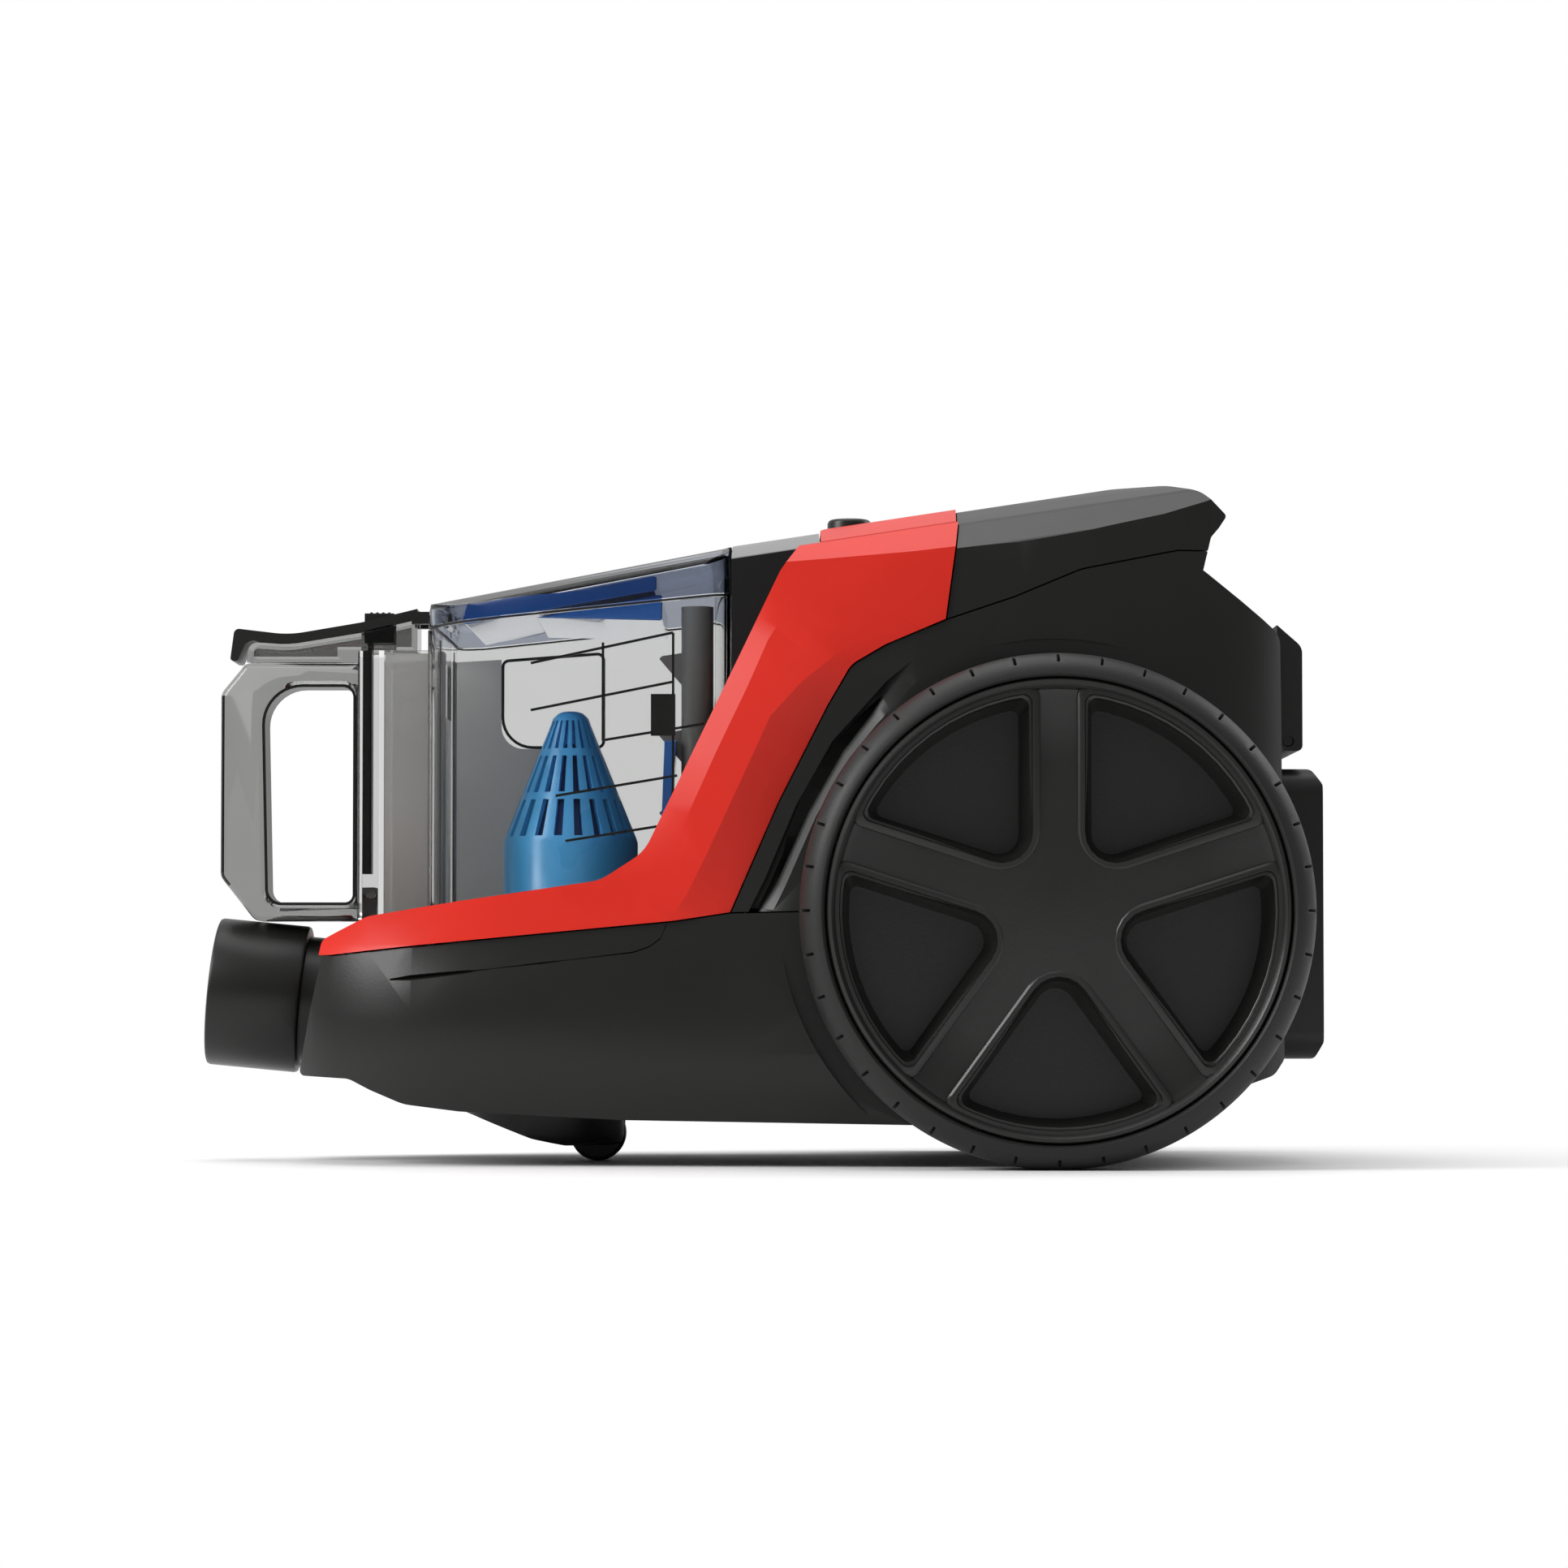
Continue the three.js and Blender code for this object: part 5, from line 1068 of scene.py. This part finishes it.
# A dark blue sheet just inside the cone's wall: painted shade for the inside seen through the slots.
inside_shade = lathe([
    (skirt_inner - 0.9, skirt_top - 4), (skirt_inner - 0.2, skirt_top - 4), (skirt_inner - 0.9, skirt_top),
    (tip_inner - 0.4, cone_tip - 7.4), (tip_inner - 1.2, cone_tip - 7.4), (skirt_inner - 1.7, skirt_top),
], "z", (cone_x, 0, 0), 64)
piece("bin_cone_inside_painted_shade", inside_shade, CONE_INSIDE_SHADE, "bin", bevel=0)

# Handle loop and the grip over it.
handle_low, handle_high = span("bin_handle")
handle_x = handle_low[0] - 0.2
handle_half = handle_high[1]
loop_low, loop_high = handle_low[2], handle_high[2]
HANDLE = [
    (bin_x - 0.4, loop_low), (handle_x + 13, loop_low, 5), (handle_x, loop_low + 16.5, 5),
    (handle_x, loop_high - 11, 5), (handle_x + 9, loop_high, 3), (bin_x - 0.4, loop_high),
]
HANDLE_GAP = [
    (bin_x - 2.2, loop_low + 6.9, 3), (handle_x + 17.6, loop_low + 6.9, 5), (handle_x + 15.8, loop_high - 8.6, 14),
    (bin_x - 2.2, loop_high - 8.6, 4),
]


LOOP_EDGE = [(2.4, 0), (0.72, 1.05), (0, 3)]  # inset of the loop's outline, and distance in from its flank
GAP_EDGE = [(-3, -1), (-1.6, 0.6), (0, 4)]  # the same for the opening, which flares out


def two_sided(corners, edge):
    """A side outline whose edges follow an edge profile on both flanks."""
    stations = [(depth, -handle_half + y) for depth, y in edge]
    stations += [(depth, handle_half - y) for depth, y in reversed(edge)]
    return loft([[(p.x, y, p.y) for p in rounded(inset(corners, depth), 10)] for depth, y in stations])


loop = cut(two_sided(HANDLE, LOOP_EDGE), two_sided(HANDLE_GAP, GAP_EDGE))
piece("bin_loop", loop, SMOKE, "bin", ["bin_handle"], bevel=0.5, angle=40)
edge_y = handle_half - 2.6
gap_edge = cut(
    side_slab(inset(HANDLE_GAP, -1.2), -edge_y, edge_y, 10),
    side_slab(inset(HANDLE_GAP, 0.1), steps=10),
)
front_edge = cut(
    side_slab(inset(HANDLE, 0.3), -edge_y, edge_y, 10),
    side_slab(inset(HANDLE, 1.7), steps=10),
    box(handle_x + 6, DEEP, -WIDE, WIDE, 0, DEEP),
    box(-DEEP, DEEP, -WIDE, WIDE, 0, loop_low + 14),
    box(-DEEP, DEEP, -WIDE, WIDE, loop_high - 12, DEEP),
)
piece("bin_loop_lining", gap_edge, BLACK, "bin", bevel=0)
piece("bin_loop_edge", front_edge, BLACK, "bin", bevel=0)

latch_x = bin_x + 5.0
grip_rear = chamber_x - 6.5
hinge = (chamber_x + 1.5, RIM_Z + 7)
STRIP_TOP = [
    (grip_rear, 204.2), (bin_x + 1, 199.2, 30), (bin_x - 26, 194.6, 40), (handle_x + 5.0, 197.0, 2),
    (handle_x + 3.4, 184.8, 1.5), (handle_x + 6.2, 184.8, 1), (handle_x + 9.5, 192.6, 4), (bin_x - 26, 191.4, 40),
    (bin_x + 1, 195.8, 30), (grip_rear, 200.6),
]
strip = join(
    side_slab(STRIP_TOP, -handle_half, handle_half, 12),
    *[
        box(grip_rear - 2, hinge[0] + 3, sign * 12.5 - 2, sign * 12.5 + 2, hinge[1] - 1.5, hinge[1] + 3)
        for sign in (-1, 1)
    ],
)
cut(
    strip,
    box(latch_x - 4, latch_x + 8, -7, 7, RISER_TOP - 2, DEEP),
    rod(1.75, -30, 30, "y", (hinge[0], 0, hinge[1]), 32),
)
piece("bin_grip_strip", strip, BLACK, "bin", ["handle_grip"], bevel=0.5)
GRIP_BODY = [
    (grip_rear, 200.2), (bin_x + 1, 195.4, 30), (bin_x - 26, 191.0, 40), (handle_x + 10.2, 192.0, 4),
    (handle_x + 9.5, loop_high + 0.4), (bin_x - 0.4, loop_high + 0.4), (bin_x - 0.4, RISER_TOP + 0.4),
    (grip_rear, RISER_TOP + 0.4),
]
GRIP_HOLLOW = GRIP_BODY[:5] + [(bin_x - 6, loop_high + 0.4), (bin_x - 6, RISER_TOP), (grip_rear, RISER_TOP)]
grip_body = cut(
    side_slab(GRIP_BODY, -handle_half + 1.0, handle_half - 1.0, 12),
    box(latch_x - 4.5, latch_x + 8.5, -7.5, 7.5, RISER_TOP - 4, DEEP),
    side_slab(inset(GRIP_HOLLOW, 2.2), -handle_half + 3, handle_half - 3, 12),
)
piece("bin_grip_core", grip_body, SMOKE, "bin", bevel=0.4)

rod_foot_z = span("bin_release_button")[0][2]
release = join(
    box(latch_x - 3.5, latch_x + 7.5, -6.5, 6.5, RISER_TOP + 4, 203),
    box(bin_x + 2.6, bin_x + 4.4, -3.5, 3.5, rod_foot_z, RISER_TOP + 5),
    *[box(latch_x - 1.5 + 2.2 * i, latch_x - 0.6 + 2.2 * i, -5.4, 5.4, 202.5, 203.5) for i in range(4)],
)
piece("bin_release_key", release, BLACK, "bin_release", ["bin_release_button"], bevel=0.35)

# ---- bin lid
LID_CLEARANCE = 1.2
LID_MOUTH = LID_CLEARANCE + 6
lid_x = chamber_x - 1
lid_rear_z = LID_Z + (bin_rear_x - chamber_x) * math.tan(LID_SLOPE)
LID_SIDE = [
    (lid_x, rim_z(lid_x) + LID_CLEARANCE), (bin_rear_x - 0.5, rim_z(bin_rear_x) + LID_CLEARANCE),
    (bin_rear_x - 0.5, lid_rear_z - 3, 2), (bin_rear_x - 3, lid_rear_z, 2), (lid_x + 3, LID_Z, 3),
]
LID_PLAN = [(chamber_x + 0.2, RISER_HALF), (chamber_x + 0.2, bin_half, 44), (bin_rear_x, bin_half, 12)]
LID_CROWN = [(28, 0), (62, -2.2, 20), (bin_half, -6, 4), (bin_half, -90)]


def lid_solid(depth):
    """The lid's outer form, moved inwards by a distance."""
    return meet(
        side_slab(inset(LID_SIDE, depth)),
        plan_slab(inset(plan_pair(LID_PLAN), depth), 0, DEEP, 14),
        crown(depth, LID_CROWN, chamber_x, LID_Z, LID_SLOPE),
    )


lid_open = meet(
    plan_slab(inset(plan_pair(LID_PLAN), BIN_WALL), 0, DEEP, 14),
    side_slab([(-DEEP, 0), (DEEP, 0), (DEEP, rim_z(DEEP) + LID_MOUTH), (-DEEP, rim_z(-DEEP) + LID_MOUTH)]),
)
lid = cut(lid_solid(0), lid_solid(BIN_WALL), lid_open)
join(lid, rod(3.2, -LUG_HALF, LUG_HALF, "y", (hinge[0], 0, hinge[1]), 48))
cut(
    lid,
    *[
        box(grip_rear - 6, hinge[0] + 4.8, sign * 12.5 - 2.5, sign * 12.5 + 2.5, hinge[1] - 4.8, DEEP)
        for sign in (-1, 1)
    ],
    rod(1.7, -30, 30, "y", (hinge[0], 0, hinge[1]), 32),
)
piece("lid_cover", lid, LID, "lid", ["bin_lid"], bevel=0.5)
rim_foot_z = rim_z(bin_rear_x) + LID_CLEARANCE
REAR_RIM = [
    (bin_rear_x - 1.6, rim_foot_z), (bin_rear_x + 0.3, rim_foot_z), (bin_rear_x + 0.3, lid_rear_z - 1.5, 0.8),
    (bin_rear_x - 3.2, lid_rear_z + 0.1, 0.6), (bin_rear_x - 3.2, lid_rear_z - 1),
    (bin_rear_x - 1.6, lid_rear_z - 2.4),
]
rear_rim = meet(side_slab(REAR_RIM, -60, 60), crown(-0.1, LID_CROWN, chamber_x, LID_Z, LID_SLOPE))
piece("lid_rear_rim", rear_rim, BLACK, "lid", bevel=0.3)
wedge_x = span("lid_insert")[0][0] - 1
UPPER_WEDGE = [
    (wedge_x, LID_Z - 9, 1.5), (wedge_x + 71, LID_Z + 3.6, 1), (wedge_x + 71, LID_Z + 11.4, 3),
    (wedge_x + 2, LID_Z - 1.4, 2),
]
LOWER_WEDGE = [(wedge_x + 27, LID_Z - 6.0), (wedge_x + 73, LID_Z - 7.0, 1), (wedge_x + 73, LID_Z + 2.6, 1)]
for name, outline, half in (("lid_wedge", UPPER_WEDGE, 56), ("lid_lower_wedge", LOWER_WEDGE, 52)):
    wedge = side_slab(outline, -half, half)
    stands_for = ["lid_insert"] if name == "lid_wedge" else []
    piece(name, wedge, DEEP_BLUE, "lid", stands_for, bevel=0.6)

# ---- deck keys
key_x = (button_low[0] + button_high[0]) / 2
for name, node, body, key_y in (
    ("power_key_cap", "power_button", "power_key", -38.0),
    ("rewind_key_cap", "rewind_button", "rewind_key", 38.0),
):
    low, high = span(node)
    top = high[2]
    cap = lathe([
        (0, top - 15), (8, top - 15), (8, top - 1.8), (7.7, top - 0.9), (7.0, top - 0.3), (6.0, top - 0.1),
        (4.6, top - 0.5), (0, top - 0.9),
    ], "z", (key_x, key_y, 0), 72)
    join(cap, rod(3, 209, top - 10, "z", (key_x, key_y, 0), 32))
    if node == "rewind_button":
        join(cap, rod(2.5, low[2], 210, "z", (key_x, 62, 0), 32), box(key_x - 2, key_x + 2, 36, 63, 206, 210))
    piece(name, cap, BLACK, body, [node], bevel=0.3)
    hole = rod(8.5, 150, DEEP, "z", (key_x, key_y, 0), 72)
    combine(bpy.data.objects["body_deck"], [moved(hole, Matrix.Scale(MM, 4))], "DIFFERENCE")

# ---- rear rest, exhaust door and cord outlet
rest_half = rest_high[1]
REST_SIDE = [
    (rear_x + 0.4, rest_low[2]), (rest_x - 3, rest_low[2], 2), (rest_x, rest_low[2] + 6, 3),
    (rest_x, rest_high[2] - 6, 3), (rest_x - 4, rest_high[2], 3), (rear_x + 0.4, rest_high[2]),
]
REST_FACE = [
    (-rest_half, rest_low[2], 10), (rest_half, rest_low[2], 10), (rest_half, rest_high[2], 10),
    (-rest_half, rest_high[2], 10),
]
LINE_HALF = rest_half - 14
rest = cut(
    meet(side_slab(REST_SIDE, -rest_half, rest_half), front_slab(REST_FACE, rear_x, rest_x + 1)),
    box(rear_x - 1, rest_x - WALL, -rest_half + 8, rest_half - 8, rest_low[2] + 8, rest_high[2] - 8),
    *[
        box(rest_x - 0.8, rest_x + 2, -LINE_HALF, LINE_HALF, z, z + 2.4)
        for z in (rest_low[2] + 16, rest_high[2] - 18.4)
    ],
)
piece("rear_bumper", rest, BLACK, "body", ["rear_rest"], bevel=0.7)

door_half = door_high[1]
door_side = [
    (door_low[0], door_low[2] + 4), (door_low[0] + 3, door_low[2] + 0.2), (door_high[0], door_low[2], 2),
    (door_high[0], door_high[2] - 8, 5), (door_low[0], door_high[2]),
]
SLATS = 8
SLAT_TILT = 0.2
slat_pitch = (door_high[2] - door_low[2] - 20) / SLATS
door = side_slab(door_side, -door_half, door_half)
for i in range(SLATS):
    slit = box(-14, 14, -door_half + 14, door_half - 14, 0, slat_pitch - 1.5)
    at = Matrix.Translation((door_low[0] + 4, 0, door_low[2] + 10.5 + i * slat_pitch))
    cut(door, moved(slit, at @ Matrix.Rotation(SLAT_TILT, 4, "Y")))
cut(door, rod(2.0, -WIDE, WIDE, "y", (door_low[0] + 4, 0, door_low[2] + 3.6), 32))
mullions = [
    box(door_low[0] + 2, door_low[0] + 7.5, y - 0.7, y + 0.7, door_low[2] + 9, door_high[2] - 8)
    for y in (-22, 0, 22)
]
join(door, *mullions)
piece("rear_grille", door, BLACK, "rear_door", ["exhaust_door"], bevel=0.4)
bush_low, bush_high = span("cord_outlet_bush")
bush_at = (rear_x, (bush_low[1] + bush_high[1]) / 2, (bush_low[2] + bush_high[2]) / 2)
bush = lathe([
    (3.4, -6), (4.7, -6), (4.7, 0.4), (9, 0.4), (9, 1.2), (8.2, 3.2), (6.4, 4), (4.9, 4), (3.9, 3.4), (3.4, 2.2),
], "x", bush_at, 72)
piece("cord_bush", bush, RUBBER, "body", ["cord_outlet_bush"], bevel=0, angle=40)

# ---- pieces kept from the frame
KEPT = {
    GREY: ["inlet_elbow", "filter_tray", "motor_housing", "reel_drum", "reel_brake", "bin_latch_hook", "power_switch"],
    STEEL: ["axle_left", "axle_right", "caster_pin", "caster_axle", "lid_hinge_pin", "reel_axle", "fan_cover",
            "motor_can", "chassis_screw_1", "chassis_screw_2", "chassis_screw_3", "chassis_screw_4"],
    RUBBER: ["inlet_seal", "bin_outlet_seal", "lid_seal", "motor_mount"],
    BLACK: ["exhaust_door_pin"],
    ALUMINIUM: ["impeller"],
    COPPER: ["stator", "rotor"],
    FOAM: ["motor_filter"],
    PAPER: ["exhaust_filter"],
    BOARD: ["control_board"],
}
for material, nodes in KEPT.items():
    for node in nodes:
        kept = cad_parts[node]
        kept.data.materials.clear()
        kept.data.materials.append(material)
        round_edges(kept, 0.25, 40)

# ---- floor, and the last lines
floor_mesh = bpy.data.meshes.new("floor")
floor_mesh.from_pydata([(-9, -9, 0), (9, -9, 0), (9, 9, 0), (-9, 9, 0)], [], [(0, 1, 2, 3)])
floor_mesh.materials.append(FLOOR)
floor = bpy.data.objects.new("floor", floor_mesh)
bpy.context.scene.collection.objects.link(floor)

bpy.context.scene.collection.children.unlink(scratch)
bpy.data.collections.remove(scratch)
